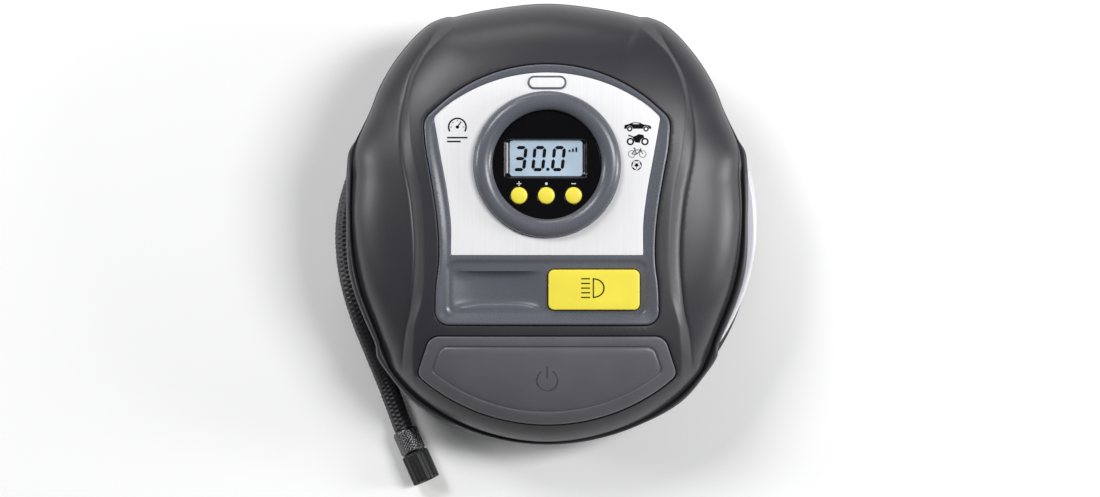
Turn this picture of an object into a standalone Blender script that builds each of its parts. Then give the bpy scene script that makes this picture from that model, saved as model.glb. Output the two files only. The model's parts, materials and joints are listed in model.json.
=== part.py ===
"""Portable tire inflator with a wrapped hose, standing on its base, face up.

World frame: +X is the right side, +Y the back, +Z up, origin on the floor under the middle.
Every length below is in millimetres and becomes metres in add_node and add_tube.
The sloping face has its own frame: u to the right, v to the back, w out of the face.
"""

import math

import bmesh
import bpy
from mathutils import Matrix, Vector

MM = 0.001

# Driving dimensions.
FACE_TILT = math.radians(7.0)
FACE_CENTRE = Vector((0.0, -3.8, 72.0))
SKIN = 2.4
GAP = 0.3
AZIMUTH_COUNT = 54
BASE_AZIMUTH_COUNT = 44
DOME_SHARES = (0.12, 0.3, 0.46, 0.59, 0.69, 0.77, 0.84, 0.895, 0.94, 0.972, 0.992, 1.0)
INNER_SHARES = (0.985, 0.93, 0.82, 0.62, 0.32)

# Housing outline, half of it: (azimuth in degrees, radius) about the middle of the face.
DOME_EDGE = (
    (-90, 98.0), (-75, 97.6), (-60, 97.0), (-44, 94.8), (-39, 91.7), (-30, 88.3), (-21, 87.1),
    (-10, 86.3), (0, 86.5), (13, 88.3), (21, 92.0), (32, 93.7), (39, 96.7), (50, 101.1),
    (59, 104.1), (64, 103.3), (66, 101.8), (78, 99.3), (90, 99.0),
)
LIP_EDGE = (
    (-90, 99.3), (-66, 99.5), (-53, 100.2), (-44, 98.3), (-38, 96.9), (-35, 94.2), (-27, 92.4),
    (-15, 91.5), (0, 89.9), (8, 91.0), (16, 93.4), (20, 94.6), (24, 93.6), (32, 94.1), (39, 97.1),
    (50, 101.5), (59, 104.5), (64, 103.7), (66, 102.2), (78, 99.7), (90, 99.4),
)
EDGE_DEPTH = ((-90, 27.6), (-60, 27.2), (-40, 25.5), (-20, 23.0), (0, 22.0), (20, 24.0), (45, 29.0),
              (60, 33.0), (90, 34.3))

# Crease strips beside the spine: (v, distance from the middle line).
STRIP_OUTER = ((-90, 66.0), (-52, 63.4), (-36, 60.3), (-13, 58.6), (10, 60.3), (28, 63.8), (41, 64.9),
               (55, 63.4), (67, 60.3), (81, 52.5), (95, 45.5))
STRIP_INNER = ((-90, 60.0), (-47, 58.7), (-31, 54.6), (-8, 53.9), (15, 55.6), (31, 59.2), (46, 61.0),
               (58, 60.7), (74, 54.6), (95, 38.0))
SPINE_POWER = 5.0
CHEEK_POWER = 4.0
STRIP_STEP = 1.2

SEAM_HEIGHT = 29.5
SEAM_TOP = 32.0
SEAM_RADIUS = 83.5
LIP_THICKNESS = 2.5

# Base tray.
BASE_EDGE = ((-90, 96.2), (-66, 96.4), (-60, 98.4), (-50, 98.2), (-40, 96.4), (-20, 94.8), (0, 94.5),
             (45, 95.0), (90, 95.0))
HOSE_NOTCH_AZIMUTH = 211.0
HOSE_NOTCH_HALF_WIDTH = 17.0
HOSE_NOTCH_DEPTH = 8.5
TRAY_BOTTOM = 3.0
TRAY_FLOOR = 5.5
TRAY_WALL = (80.6, 83.0)
TRAY_WALL_TOP = 33.0
CHANNEL_FLOOR = 17.5
LEAD_GROOVE = 84.9
LEAD_GROOVE_TOP = 14.7

SCREW_PLACES = ((61.0, -43.5), (-61.0, -43.5), (60.0, 42.0), (-60.0, 42.0))
FOOT_AZIMUTHS = (52.0, 128.0, 232.0, 308.0)
MOUNT_PLACES = ((-44.0, -13.8, 13.7), (31.8, -34.0, 13.7), (-30.0, 34.0, 15.2))

# Control panel, in the face frame.
RING_CENTRE = (0.0, 25.7)
RING_OUTER = 32.3
RING_INNER = 24.0
BUTTON_ROW_V = 12.1
BUTTON_RADIUS = 3.65
BUTTON_PLACES = {"button_plus": -12.3, "button_mode": -0.3, "button_minus": 11.7}
BOARD_TOP = -9.0

# Compressor: shafts along Y, cylinder along X, one common height.
DRIVE_HEIGHT = 34.0
MOTOR_X = -30.0
GEAR_MODULE = 1.0
PINION_TEETH = 10
CRANK_TEETH = 40
CRANK_X = MOTOR_X + GEAR_MODULE * (PINION_TEETH + CRANK_TEETH) / 2
CRANK_THROW = 5.5
CYLINDER_Y = -26.0

# Hose, its ferrule and its connector.
HOSE_DIAMETER = 9.0
HOSE_LINE_RADIUS = 88.3
HOSE_LINE_HEIGHT = 22.3
HOSE_START_AZIMUTH = -110.0
CONNECTOR_AXIS_HEIGHT = 6.3
FERRULE_START = Vector((-65.5, -91.0, CONNECTOR_AXIS_HEIGHT))
END_DIRECTION = Vector((0.4147, -0.91, 0.0)).normalized()
FERRULE_LENGTH = 11.3
CONNECTOR_LENGTH = 13.9


# ---------------------------------------------------------------- small tools

def clear_scene():
    for item in list(bpy.data.objects):
        bpy.data.objects.remove(item, do_unlink=True)


def make_material(name, colour, roughness, metallic=0.0):
    material = bpy.data.materials.new(name)
    material.use_nodes = True
    shader = material.node_tree.nodes["Principled BSDF"]
    shader.inputs["Base Color"].default_value = (*colour, 1.0)
    shader.inputs["Roughness"].default_value = roughness
    shader.inputs["Metallic"].default_value = metallic
    material.diffuse_color = (*colour, 1.0)
    return material


def metres(place):
    """The same placement with its translation turned from millimetres into metres."""
    scaled = place.copy()
    scaled.translation = place.translation * MM
    return scaled


def add_node(name, solid, material, place=Matrix.Identity(4)):
    """Turn a solid modelled in millimetres into a scene object."""
    bmesh.ops.recalc_face_normals(solid, faces=solid.faces)
    bmesh.ops.scale(solid, vec=(MM, MM, MM), verts=solid.verts)
    mesh = bpy.data.meshes.new(name)
    solid.to_mesh(mesh)
    solid.free()
    mesh.shade_smooth()
    mesh.set_sharp_from_angle(angle=math.radians(35.0))
    mesh.materials.append(material)
    node = bpy.data.objects.new(name, mesh)
    bpy.context.collection.objects.link(node)
    node.matrix_world = metres(place)
    return node


def add_tube(name, points, diameter, material, bevel_resolution):
    """A round tube along a row of points, with closed ends."""
    curve = bpy.data.curves.new(name, "CURVE")
    curve.dimensions = "3D"
    curve.bevel_depth = diameter / 2 * MM
    curve.bevel_resolution = bevel_resolution
    curve.use_fill_caps = True
    curve.render_resolution_u = 0
    spline = curve.splines.new("POLY")
    spline.points.add(len(points) - 1)
    for knot, point in zip(spline.points, points):
        knot.co = (*(point * MM), 1.0)
    curve.materials.append(material)
    node = bpy.data.objects.new(name, curve)
    bpy.context.collection.objects.link(node)
    return node


def smoothstep(low, high, value):
    share = min(1.0, max(0.0, (value - low) / (high - low)))
    return share * share * (3.0 - 2.0 * share)


def curve_value(pairs, place):
    """A smooth curve through (place, value) pairs, flat at both ends."""
    last = len(pairs) - 1
    place = min(max(place, pairs[0][0]), pairs[last][0])
    index = 0
    while index < last - 1 and place > pairs[index + 1][0]:
        index += 1

    def slope(i):
        if i in (0, last):
            return 0.0
        return (pairs[i + 1][1] - pairs[i - 1][1]) / (pairs[i + 1][0] - pairs[i - 1][0])

    start, start_value = pairs[index]
    end, end_value = pairs[index + 1]
    length = end - start
    t = (place - start) / length
    return (
        (2 * t ** 3 - 3 * t ** 2 + 1) * start_value
        + (t ** 3 - 2 * t ** 2 + t) * length * slope(index)
        + (3 * t ** 2 - 2 * t ** 3) * end_value
        + (t ** 3 - t ** 2) * length * slope(index + 1)
    )


def half_turn_value(pairs, azimuth):
    """Read a half outline given from -90 to 90 degrees, mirrored for the left side."""
    azimuth = (azimuth + 180.0) % 360.0 - 180.0
    if azimuth > 90.0:
        azimuth = 180.0 - azimuth
    if azimuth < -90.0:
        azimuth = -180.0 - azimuth
    return curve_value(pairs, azimuth)


def polar(azimuth, radius, height):
    angle = math.radians(azimuth)
    return Vector((radius * math.cos(angle), radius * math.sin(angle), height))


def spline_points(knots, spacing):
    """Points about one spacing apart on a smooth curve through the knots."""
    points = [knots[0]]
    for index in range(len(knots) - 1):
        before = knots[max(index - 1, 0)]
        start = knots[index]
        end = knots[index + 1]
        after = knots[min(index + 2, len(knots) - 1)]
        steps = max(1, round((end - start).length / spacing))
        for step in range(1, steps + 1):
            t = step / steps
            points.append(0.5 * (
                2.0 * start + (end - before) * t
                + (2.0 * before - 5.0 * start + 4.0 * end - after) * t ** 2
                + (3.0 * start - before - 3.0 * end + after) * t ** 3
            ))
    return points


# ---------------------------------------------------------------- solids in millimetres

def join_rings(solid, low, high):
    """Faces between two rings of vertices, where either may be a single pole."""
    count = max(len(low), len(high))
    for index in range(count):
        after = (index + 1) % count
        if len(low) == 1:
            solid.faces.new((low[0], high[after], high[index]))
        elif len(high) == 1:
            solid.faces.new((low[index], low[after], high[0]))
        else:
            solid.faces.new((low[index], low[after], high[after], high[index]))


def loft(rings):
    """A closed body through a row of rings. End rings are poles or get a flat cap."""
    solid = bmesh.new()
    levels = [[solid.verts.new(point) for point in ring] for ring in rings]
    for low, high in zip(levels, levels[1:]):
        join_rings(solid, low, high)
    for end in (levels[0], levels[-1]):
        if len(end) > 2:
            solid.faces.new(end)
    return solid


def turned(profile, sides=28):
    """Revolve (radius, height) pairs about Z, from pole to pole or as a closed section."""
    solid = bmesh.new()
    rings = []
    for radius, height in profile:
        if radius == 0.0:
            rings.append([solid.verts.new((0.0, 0.0, height))])
            continue
        step = 360.0 / sides
        rings.append([solid.verts.new(polar(index * step, radius, height)) for index in range(sides)])
    for low, high in zip(rings, rings[1:]):
        join_rings(solid, low, high)
    if profile[0][0] > 0.0:
        join_rings(solid, rings[-1], rings[0])
    return solid


def rod(radius, low, high, sides=20):
    return turned(((0.0, low), (radius, low), (radius, high), (0.0, high)), sides)


def prism(outline, low, high):
    return loft([[Vector((x, y, low)) for x, y in outline], [Vector((x, y, high)) for x, y in outline]])


def block(low, high):
    outline = ((low[0], low[1]), (high[0], low[1]), (high[0], high[1]), (low[0], high[1]))
    return prism(outline, low[2], high[2])


def arc_block(radii, heights, azimuths, steps=6):
    """A curved bar: part of a ring with a rectangular section."""
    sections = []
    for step in range(steps + 1):
        azimuth = azimuths[0] + (azimuths[1] - azimuths[0]) * step / steps
        sections.append([
            polar(azimuth, radii[0], heights[0]), polar(azimuth, radii[1], heights[0]),
            polar(azimuth, radii[1], heights[1]), polar(azimuth, radii[0], heights[1]),
        ])
    return loft(sections)


def rounded(corners, steps=4):
    """An outline through (x, y, radius) corners, with an arc at each corner that has a radius."""
    outline = []
    count = len(corners)
    for index, (x, y, radius) in enumerate(corners):
        if radius == 0.0:
            outline.append((x, y))
            continue
        here = Vector((x, y))
        back = (Vector(corners[index - 1][:2]) - here).normalized()
        ahead = (Vector(corners[(index + 1) % count][:2]) - here).normalized()
        half = back.angle(ahead) / 2
        reach = radius / math.tan(half)
        centre = here + (back + ahead).normalized() * (radius / math.sin(half))
        start = here + back * reach - centre
        sweep = start.angle_signed(here + ahead * reach - centre)
        for step in range(steps + 1):
            point = centre + Matrix.Rotation(-sweep * step / steps, 2) @ start
            outline.append((point.x, point.y))
    return outline


def rounded_rectangle(low, high, radius):
    return rounded((
        (low[0], low[1], radius), (high[0], low[1], radius),
        (high[0], high[1], radius), (low[0], high[1], radius),
    ))


def mirrored(right_half):
    """Close a right half outline, given from the top down, with its mirror image."""
    left_half = [(-x, y, radius) for x, y, radius in reversed(right_half) if abs(x) > 0.01]
    return list(right_half) + left_half


def grown(outline, amount):
    """The outline moved outwards by an amount, or inwards by a negative one."""
    area = sum(a[0] * b[1] - b[0] * a[1] for a, b in zip(outline, outline[1:] + outline[:1]))
    side = 1.0 if area > 0.0 else -1.0
    result = []
    for index, (x, y) in enumerate(outline):
        before = Vector(outline[index - 1])
        after = Vector(outline[(index + 1) % len(outline)])
        along = (after - before).normalized()
        result.append((x + side * along.y * amount, y - side * along.x * amount))
    return result


def combine(solid, other, operation):
    """Boolean of two solids with the exact solver. Both inputs are used up."""
    nodes = []
    for bm in (solid, other):
        bmesh.ops.recalc_face_normals(bm, faces=bm.faces)
        mesh = bpy.data.meshes.new("boolean_input")
        bm.to_mesh(mesh)
        bm.free()
        node = bpy.data.objects.new("boolean_input", mesh)
        bpy.context.collection.objects.link(node)
        nodes.append(node)
    modifier = nodes[0].modifiers.new("combine", "BOOLEAN")
    modifier.object = nodes[1]
    modifier.operation = operation
    modifier.solver = "EXACT"
    evaluated = nodes[0].evaluated_get(bpy.context.evaluated_depsgraph_get())
    result = bmesh.new()
    result.from_mesh(evaluated.to_mesh())
    evaluated.to_mesh_clear()
    for node in nodes:
        bpy.data.objects.remove(node, do_unlink=True)
    return result


def cut(solid, *tools):
    for tool in tools:
        solid = combine(solid, tool, "DIFFERENCE")
    return solid


def fuse(solid, *others):
    for other in others:
        solid = combine(solid, other, "UNION")
    return solid


def moved(solid, place):
    solid.transform(place)
    return solid


def shifted(solid, x, y, z=0.0):
    return moved(solid, Matrix.Translation((x, y, z)))


def along_y(x, y, z):
    """Placement whose local Z points along world +Y."""
    return Matrix.Translation((x, y, z)) @ Matrix.Rotation(math.radians(-90.0), 4, "X")


def along_x(x, y, z):
    """Placement whose local Z points along world +X."""
    return Matrix.Translation((x, y, z)) @ Matrix.Rotation(math.radians(90.0), 4, "Y")


def along(direction, point):
    """Placement whose local Z points along a level direction."""
    return Matrix.Translation(point) @ direction.to_track_quat("Z", "Y").to_matrix().to_4x4()


# ---------------------------------------------------------------- the face and its dome

def face_place(u=0.0, v=0.0, w=0.0):
    tilt = Matrix.Translation(FACE_CENTRE) @ Matrix.Rotation(FACE_TILT, 4, "X")
    return tilt @ Matrix.Translation((u, v, w))


def dome_depth(u, v, edge_share, power):
    azimuth = math.degrees(math.atan2(v, u))
    fullness = 1.0 - min(edge_share, 1.0) ** power
    return -half_turn_value(EDGE_DEPTH, azimuth) * (1.0 - math.sqrt(max(fullness, 0.0)))


def edge_share_at(u, v):
    azimuth = math.degrees(math.atan2(v, u))
    return math.hypot(u, v) / half_turn_value(DOME_EDGE, azimuth)


def spine_height(u, v):
    return dome_depth(u, v, edge_share_at(u, v), SPINE_POWER)


def shell_height(u, v):
    """Height of the outer skin over the face plane: spine, crease strip and cheek."""
    share = edge_share_at(u, v)
    spine = dome_depth(u, v, share, SPINE_POWER)
    cheek = dome_depth(u, v, share, CHEEK_POWER) - STRIP_STEP * (1.0 - share ** 8)
    blend = smoothstep(curve_value(STRIP_INNER, v), curve_value(STRIP_OUTER, v), abs(u))
    return spine + (cheek - spine) * blend


def dome_point(azimuth, share):
    """A point of the outer skin in the face frame."""
    radius = half_turn_value(DOME_EDGE, azimuth) * share
    flat = polar(azimuth, radius, 0.0)
    return Vector((flat.x, flat.y, shell_height(flat.x, flat.y)))


def bend_to_dome(solid, u_cuts, v_cuts):
    """Slice a flat panel and let it follow the spine's curvature."""
    bmesh.ops.triangulate(solid, faces=solid.faces)
    for axis, cuts in ((Vector((1, 0, 0)), u_cuts), (Vector((0, 1, 0)), v_cuts)):
        for place in cuts:
            geometry = list(solid.verts) + list(solid.edges) + list(solid.faces)
            bmesh.ops.bisect_plane(solid, geom=geometry, dist=0.001, plane_co=axis * place, plane_no=axis)
    for vert in solid.verts:
        vert.co.z += spine_height(vert.co.x, vert.co.y)
    return solid


def frame_outline():
    top, radius = 70.1, 71.7
    arc = [(u, top - radius + math.sqrt(radius ** 2 - u ** 2), 0.0) for u in (0, 10, 20, 29, 37, 44, 49.5)]
    side = [(54.4, 45.6, 4.0), (53.5, 34, 0), (51, 20, 0), (48.8, 6.5, 0), (47.5, -8, 0),
            (47.5, -16.5, 0), (48.9, -29, 0), (49.4, -44.9, 6.0)]
    return rounded(mirrored(arc + side))


def plate_outline():
    top, radius = 66.4, 74.7
    arc = [(u, top - radius + math.sqrt(radius ** 2 - u ** 2), 0.0) for u in (0, 10, 20, 29, 37, 45.5)]
    side = [(50.0, 46.8, 2.5), (46.8, 29, 0), (43.9, 13, 0), (42.4, 0.4, 0), (42.0, -14.2, 1.5)]
    return rounded(mirrored(arc + side))


def power_outline():
    bottom, radius = -89.4, 86.8
    arc = [(u, bottom + radius - math.sqrt(radius ** 2 - u ** 2), 0.0) for u in (52, 44, 33, 22, 11, 0)]
    side = [(0.0, -50.0, 0.0), (51.8, -50.0, 6.0), (57.7, -67.4, 4.0)]
    return rounded(mirrored(side + arc))


def lower_field_outline():
    return rounded_rectangle((-44.0, -40.5), (44.0, -16.7), 4.0)


def recess_outline():
    return rounded_rectangle((-41.8, -37.5), (-2.0, -21.1), 2.5)


def light_outline():
    return rounded_rectangle((0.6, -38.2), (40.7, -20.5), 2.5)


# ---------------------------------------------------------------- housing

def shell_edge(azimuth):
    """World point where the dome meets its lip."""
    return face_place() @ dome_point(azimuth, 1.0)


def shell_rings():
    azimuths = [index * 360.0 / AZIMUTH_COUNT for index in range(AZIMUTH_COUNT)]
    place = face_place()
    rings = [[place @ Vector((0.0, 0.0, shell_height(0.001, 0.0)))]]
    for share in DOME_SHARES:
        rings.append([place @ dome_point(azimuth, share) for azimuth in azimuths])
    edge = rings[-1]

    def around(radius_of, height_of):
        ring = []
        for azimuth, corner in zip(azimuths, edge):
            flat = Vector((corner.x, corner.y, 0.0))
            out = flat.normalized() * radius_of(flat.length, azimuth)
            ring.append(Vector((out.x, out.y, height_of(corner.z))))
        return ring

    def overhang(azimuth):
        return half_turn_value(LIP_EDGE, azimuth) - half_turn_value(DOME_EDGE, azimuth)

    rings.append(around(lambda r, a: r + overhang(a), lambda z: z + 0.2))
    rings.append(around(lambda r, a: r + overhang(a), lambda z: max(z - LIP_THICKNESS, 30.4)))
    rings.append(around(lambda r, a: r, lambda z: max(z - LIP_THICKNESS - 1.0, 29.9)))
    rings.append(around(lambda r, a: r, lambda z: SEAM_HEIGHT))
    rings.append(around(lambda r, a: SEAM_RADIUS, lambda z: SEAM_HEIGHT))
    rings.append(around(lambda r, a: SEAM_RADIUS, lambda z: SEAM_TOP))
    rings.append(around(lambda r, a: r - SKIN, lambda z: SEAM_TOP + 0.5))
    for share in INNER_SHARES:
        ring = []
        for azimuth in azimuths:
            radius = (half_turn_value(DOME_EDGE, azimuth) - SKIN) * share
            flat = polar(azimuth, radius, dome_point(azimuth, share).z - SKIN - 0.2)
            ring.append(place @ flat)
        rings.append(ring)
    rings.append([place @ Vector((0.0, 0.0, -SKIN - 0.2))])
    return rings


def skin_height_over(x, y):
    """World height of the outer skin over a point of the floor."""
    point = Vector((0.0, 0.0, 0.0))
    v = y - FACE_CENTRE.y
    for _ in range(8):
        point = face_place() @ Vector((x, v, shell_height(x, v)))
        v += y - point.y
    return point.z


def screw_boss(x, y):
    """Pillar under the dome that takes a housing screw."""
    return shifted(rod(3.6, 9.3, skin_height_over(x, y) - 2.2, 16), x, y)


def build_top_shell(material):
    shell = loft(shell_rings())
    shell = cut(
        shell,
        moved(prism(grown(frame_outline(), 0.35), -14.0, 4.0), face_place()),
        moved(prism(grown(power_outline(), 0.35), -22.0, 4.0), face_place()),
    )
    for x, y in SCREW_PLACES:
        shell = fuse(shell, screw_boss(x, y))
        shell = cut(shell, shifted(rod(1.9, 8.0, 24.0, 12), x, y))
    add_node("top_shell", shell, material)


def base_radius(azimuth):
    radius = half_turn_value(BASE_EDGE, azimuth)
    away = abs((azimuth - HOSE_NOTCH_AZIMUTH + 180.0) % 360.0 - 180.0)
    notch = 1.0 - smoothstep(HOSE_NOTCH_HALF_WIDTH * 0.45, HOSE_NOTCH_HALF_WIDTH, away)
    return radius - HOSE_NOTCH_DEPTH * notch


def base_rings():
    """Underside, lead groove, outer rim, hose channel floor, inner wall and tray floor."""
    azimuths = [index * 360.0 / BASE_AZIMUTH_COUNT for index in range(BASE_AZIMUTH_COUNT)]

    def around(radius_of, height):
        return [polar(azimuth, radius_of(base_radius(azimuth)), height) for azimuth in azimuths]

    def groove_side(radius):
        return max(radius - 3.2, LEAD_GROOVE + 0.7)

    return [
        [Vector((0.0, 0.0, TRAY_BOTTOM))],
        around(lambda r: 45.0, TRAY_BOTTOM),
        around(lambda r: LEAD_GROOVE - 0.3, TRAY_BOTTOM),
        around(lambda r: LEAD_GROOVE, LEAD_GROOVE_TOP),
        around(groove_side, LEAD_GROOVE_TOP),
        around(groove_side, TRAY_BOTTOM),
        around(lambda r: r - 0.8, TRAY_BOTTOM),
        around(lambda r: r, TRAY_BOTTOM + 1.0),
        around(lambda r: r, CHANNEL_FLOOR - 0.8),
        around(lambda r: r - 0.8, CHANNEL_FLOOR),
        around(lambda r: TRAY_WALL[1], CHANNEL_FLOOR),
        around(lambda r: TRAY_WALL[1], TRAY_WALL_TOP),
        around(lambda r: TRAY_WALL[0], TRAY_WALL_TOP),
        around(lambda r: TRAY_WALL[0], TRAY_FLOOR),
        around(lambda r: 45.0, TRAY_FLOOR),
        [Vector((0.0, 0.0, TRAY_FLOOR))],
    ]


def build_base_tray(material):
    tray = loft(base_rings())
    for x, y in SCREW_PLACES:
        tray = fuse(tray, shifted(rod(5.2, 4.0, 9.0, 16), x, y))
        tray = cut(tray, shifted(rod(4.0, 1.0, 6.0, 16), x, y), shifted(rod(1.9, 5.0, 11.0, 12), x, y))
    for index in range(6):
        x = -47.5 + index * 7.0
        slot = rounded_rectangle((x - 1.5, 6.0), (x + 1.5, 30.0), 1.4)
        tray = cut(tray, prism(slot, 1.0, 8.0))
    add_node("base_tray", tray, material)


def build_feet_and_screws(rubber, steel):
    for number, azimuth in enumerate(FOOT_AZIMUTHS, 1):
        foot = arc_block((77.8, 84.2), (0.0, TRAY_BOTTOM - GAP), (azimuth - 11.0, azimuth + 11.0))
        add_node(f"rubber_foot_{number}", foot, rubber)
    screw = ((0.0, 3.6), (3.4, 3.6), (3.4, 5.4), (1.5, 5.7), (1.5, 20.0), (0.8, 22.0), (0.0, 22.0))
    for number, (x, y) in enumerate(SCREW_PLACES, 1):
        add_node(f"housing_screw_{number}", turned(screw, 10), steel, Matrix.Translation((x, y, 0.0)))


def build_light(lens_material, board_material):
    """White lens under the right wing, and the LED board behind it."""
    lens_sections = []
    board_sections = []
    for step in range(19):
        azimuth = -37.0 + 52.0 * step / 18
        edge = shell_edge(azimuth)
        wall = math.hypot(edge.x, edge.y)
        heading = math.degrees(math.atan2(edge.y, edge.x))
        low = SEAM_HEIGHT + 0.7
        high = edge.z - LIP_THICKNESS - 1.5
        outer = 94.2
        wall += 0.7
        skin = 1.2
        profile = (
            (wall, low), (outer - 0.9, low), (outer, low + 1.2), (outer, high - 1.8),
            (outer - 1.2, high - 0.5), (wall, high), (wall, high - skin),
            (outer - skin - 0.5, high - skin - 0.7), (outer - skin, high - skin - 1.6),
            (outer - skin, low + skin + 0.6), (outer - skin - 0.5, low + skin),
            (wall, low + skin),
        )
        if high - low > 7.0:
            lens_sections.append([polar(heading, radius, height) for radius, height in profile])
        if 3 <= step <= 15 and high - low > 12.0:
            near, far = wall + 0.8, wall + 2.0
            board = ((near, low + 2.8), (far, low + 2.8), (far, low + 9.0), (near, low + 9.0))
            board_sections.append([polar(heading, radius, height) for radius, height in board])
    add_node("light_lens", loft(lens_sections), lens_material)
    add_node("led_board", loft(board_sections), board_material)


# ---------------------------------------------------------------- control panel

def build_control_frame(material):
    frame = prism(frame_outline(), -8.0, 0.25)
    frame = cut(
        frame,
        prism(grown(frame_outline(), -2.4), -9.0, -4.4),
        prism(grown(plate_outline(), GAP), -1.4, 2.0),
        shifted(rod(24.4, -6.0, 3.0, 36), *RING_CENTRE),
        prism(lower_field_outline(), -0.5, 2.0),
        prism(recess_outline(), -3.3, 2.0),
        prism(grown(light_outline(), 0.35), -6.0, 2.0),
    )
    bend_to_dome(frame, (-30.0, 30.0), (40.0, 56.0))
    add_node("control_frame", frame, material, face_place())


def build_silver_plate(material):
    plate = prism(plate_outline(), -1.1, 0.2)
    plate = cut(plate, shifted(rod(RING_OUTER + 0.4, -2.0, 1.0, 40), *RING_CENTRE))
    bend_to_dome(plate, (-30.0, 30.0), (40.0, 56.0))
    add_node("silver_plate", plate, material, face_place())


def build_display(ring_material, window_material, lcd_material):
    crown = []
    for step in range(7):
        angle = math.radians(180.0 * step / 6)
        middle = (RING_OUTER + RING_INNER) / 2
        half = (RING_OUTER - RING_INNER) / 2
        crown.append((middle + half * math.cos(angle), 1.2 + 3.3 * math.sin(angle)))
    ring = turned([(RING_INNER, -1.1), (RING_OUTER, -1.1)] + crown, 40)
    add_node("display_ring", ring, ring_material, face_place(*RING_CENTRE))

    window = rod(RING_INNER - GAP, -1.2, 0.8, 36)
    window = shifted(window, *RING_CENTRE)
    window = cut(window, prism(rounded_rectangle((-18.4, 19.9), (17.4, 37.0), 0.6), -3.0, 3.0))
    for u in BUTTON_PLACES.values():
        window = cut(window, shifted(rod(BUTTON_RADIUS + 0.35, -3.0, 3.0, 18), u, BUTTON_ROW_V))
    add_node("display_window", window, window_material, face_place())

    lcd = block((-19.5, 18.6, -5.5), (18.5, 38.2, -1.5))
    add_node("lcd_module", lcd, lcd_material, face_place())


def build_round_buttons(material, switch_material):
    cap = (
        (0.0, -3.2), (1.5, -3.2), (1.5, -2.5), (4.5, -2.5), (4.5, -1.6), (BUTTON_RADIUS, -1.6),
        (BUTTON_RADIUS, 1.4), (3.1, 2.0), (1.6, 2.25), (0.0, 2.3),
    )
    for name, u in BUTTON_PLACES.items():
        add_node(name, turned(cap, 18), material, face_place(u, BUTTON_ROW_V))
        switch = fuse(
            block((-3.0, -3.0, BOARD_TOP + GAP), (3.0, 3.0, -5.4)),
            rod(1.7, -6.0, -4.4, 12),
        )
        add_node(name.replace("button", "tact_switch"), switch, switch_material, face_place(u, BUTTON_ROW_V))


def build_light_button(material, switch_material):
    outline = light_outline()
    middle = Vector((20.65, -29.35))
    rings = []
    for inset, height in ((0.0, -4.0), (0.0, 0.6), (0.5, 1.05), (1.4, 1.2)):
        ring = grown(outline, -inset)
        rings.append([Vector((u - middle.x, v - middle.y, height)) for u, v in ring])
    place = face_place(middle.x, middle.y, spine_height(middle.x, middle.y))
    add_node("light_button", loft(rings), material, place)
    switch = fuse(block((-5.0, -3.2, -12.0), (5.0, 3.2, -6.9)), rod(1.6, -8.0, -6.3, 12))
    add_node("light_switch", switch, switch_material, place)


def build_power_button(material, switch_material):
    panel = prism(power_outline(), -3.0, 0.2)
    bend_to_dome(panel, (-34.0, 0.0, 34.0), (-58.0, -66.0, -74.0, -81.0))
    middle = Vector((0.0, -69.5, 0.0))
    add_node("power_button", shifted(panel, 0.0, -middle.y), material, face_place(*middle))
    switch = fuse(block((-7.0, -6.0, -21.0), (7.0, 6.0, -10.5)), rod(2.2, -12.0, -8.4, 12))
    add_node("power_switch", switch, switch_material, face_place(*middle))


def build_main_board(material, sensor_material):
    board = rounded_rectangle((-35.0, -14.0), (35.0, 48.0), 2.0)
    add_node("main_board", prism(board, BOARD_TOP - 1.6, BOARD_TOP), material, face_place())
    sensor = fuse(block((-4.0, -4.0, -15.4), (4.0, 4.0, BOARD_TOP - 1.6 - GAP)), rod(1.5, -19.0, -14.0, 12))
    add_node("pressure_sensor", sensor, sensor_material, face_place(22.0, 24.0))


# ---------------------------------------------------------------- compressor

def gear_outline(teeth, offset):
    """Straight-sided teeth, one of them centred on the offset angle in degrees."""
    pitch_radius = GEAR_MODULE * teeth / 2
    flanks = ((pitch_radius - 1.25, 0.8), (pitch_radius + 0.9, 0.33))
    outline = []
    for tooth in range(teeth):
        middle = offset + tooth * 360.0 / teeth
        for radius, half in flanks:
            outline.append(polar(middle - math.degrees(half / radius), radius, 0.0).xy)
        for radius, half in reversed(flanks):
            outline.append(polar(middle + math.degrees(half / radius), radius, 0.0).xy)
    return outline


def build_motor(steel, plastic, copper, magnet, brass):
    place = along_y(MOTOR_X, 0.0, DRIVE_HEIGHT)
    can = ((3.4, -12.0), (18.5, -12.0), (18.5, 43.0), (16.9, 43.0), (16.9, -10.4), (3.4, -10.4))
    add_node("motor_can", turned(can, 24), steel, place)
    cap = ((3.4, 43.3), (18.3, 43.3), (18.3, 45.0), (12.0, 46.5), (3.4, 46.5))
    add_node("motor_end_cap", turned(cap, 24), plastic, place)
    armature = ((2.8, -6.0), (13.6, -6.0), (13.6, 28.0), (5.6, 29.0), (5.6, 38.0), (2.8, 38.0))
    add_node("motor_armature", turned(armature, 18), copper, place)
    for number, middle in enumerate((0.0, 180.0), 1):
        arc = arc_block((14.3, 16.6), (-8.0, 30.0), (middle - 62.0, middle + 62.0), 10)
        add_node(f"motor_magnet_{number}", arc, magnet, place)
    add_node("motor_shaft", rod(2.5, -21.5, 57.0, 16), steel, place)

    pinion = prism(gear_outline(PINION_TEETH, 180.0 / PINION_TEETH), -20.2, -15.8)
    add_node("drive_pinion", cut(pinion, rod(2.8, -23.0, -13.0, 16)), brass, place)

    sections = []
    for height, twist in ((48.5, 0.0), (52.0, 14.0), (55.5, 28.0)):
        section = []
        for blade in range(5):
            start = blade * 72.0 + twist
            for offset, radius in ((0, 5.0), (6, 15.0), (20, 15.5), (38, 15.2), (50, 5.0), (61, 5.0)):
                section.append(polar(start + offset, radius, height))
        sections.append(section)
    fan = cut(loft(sections), rod(2.8, 45.0, 60.0, 16))
    add_node("cooling_fan", fan, plastic, place)


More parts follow.
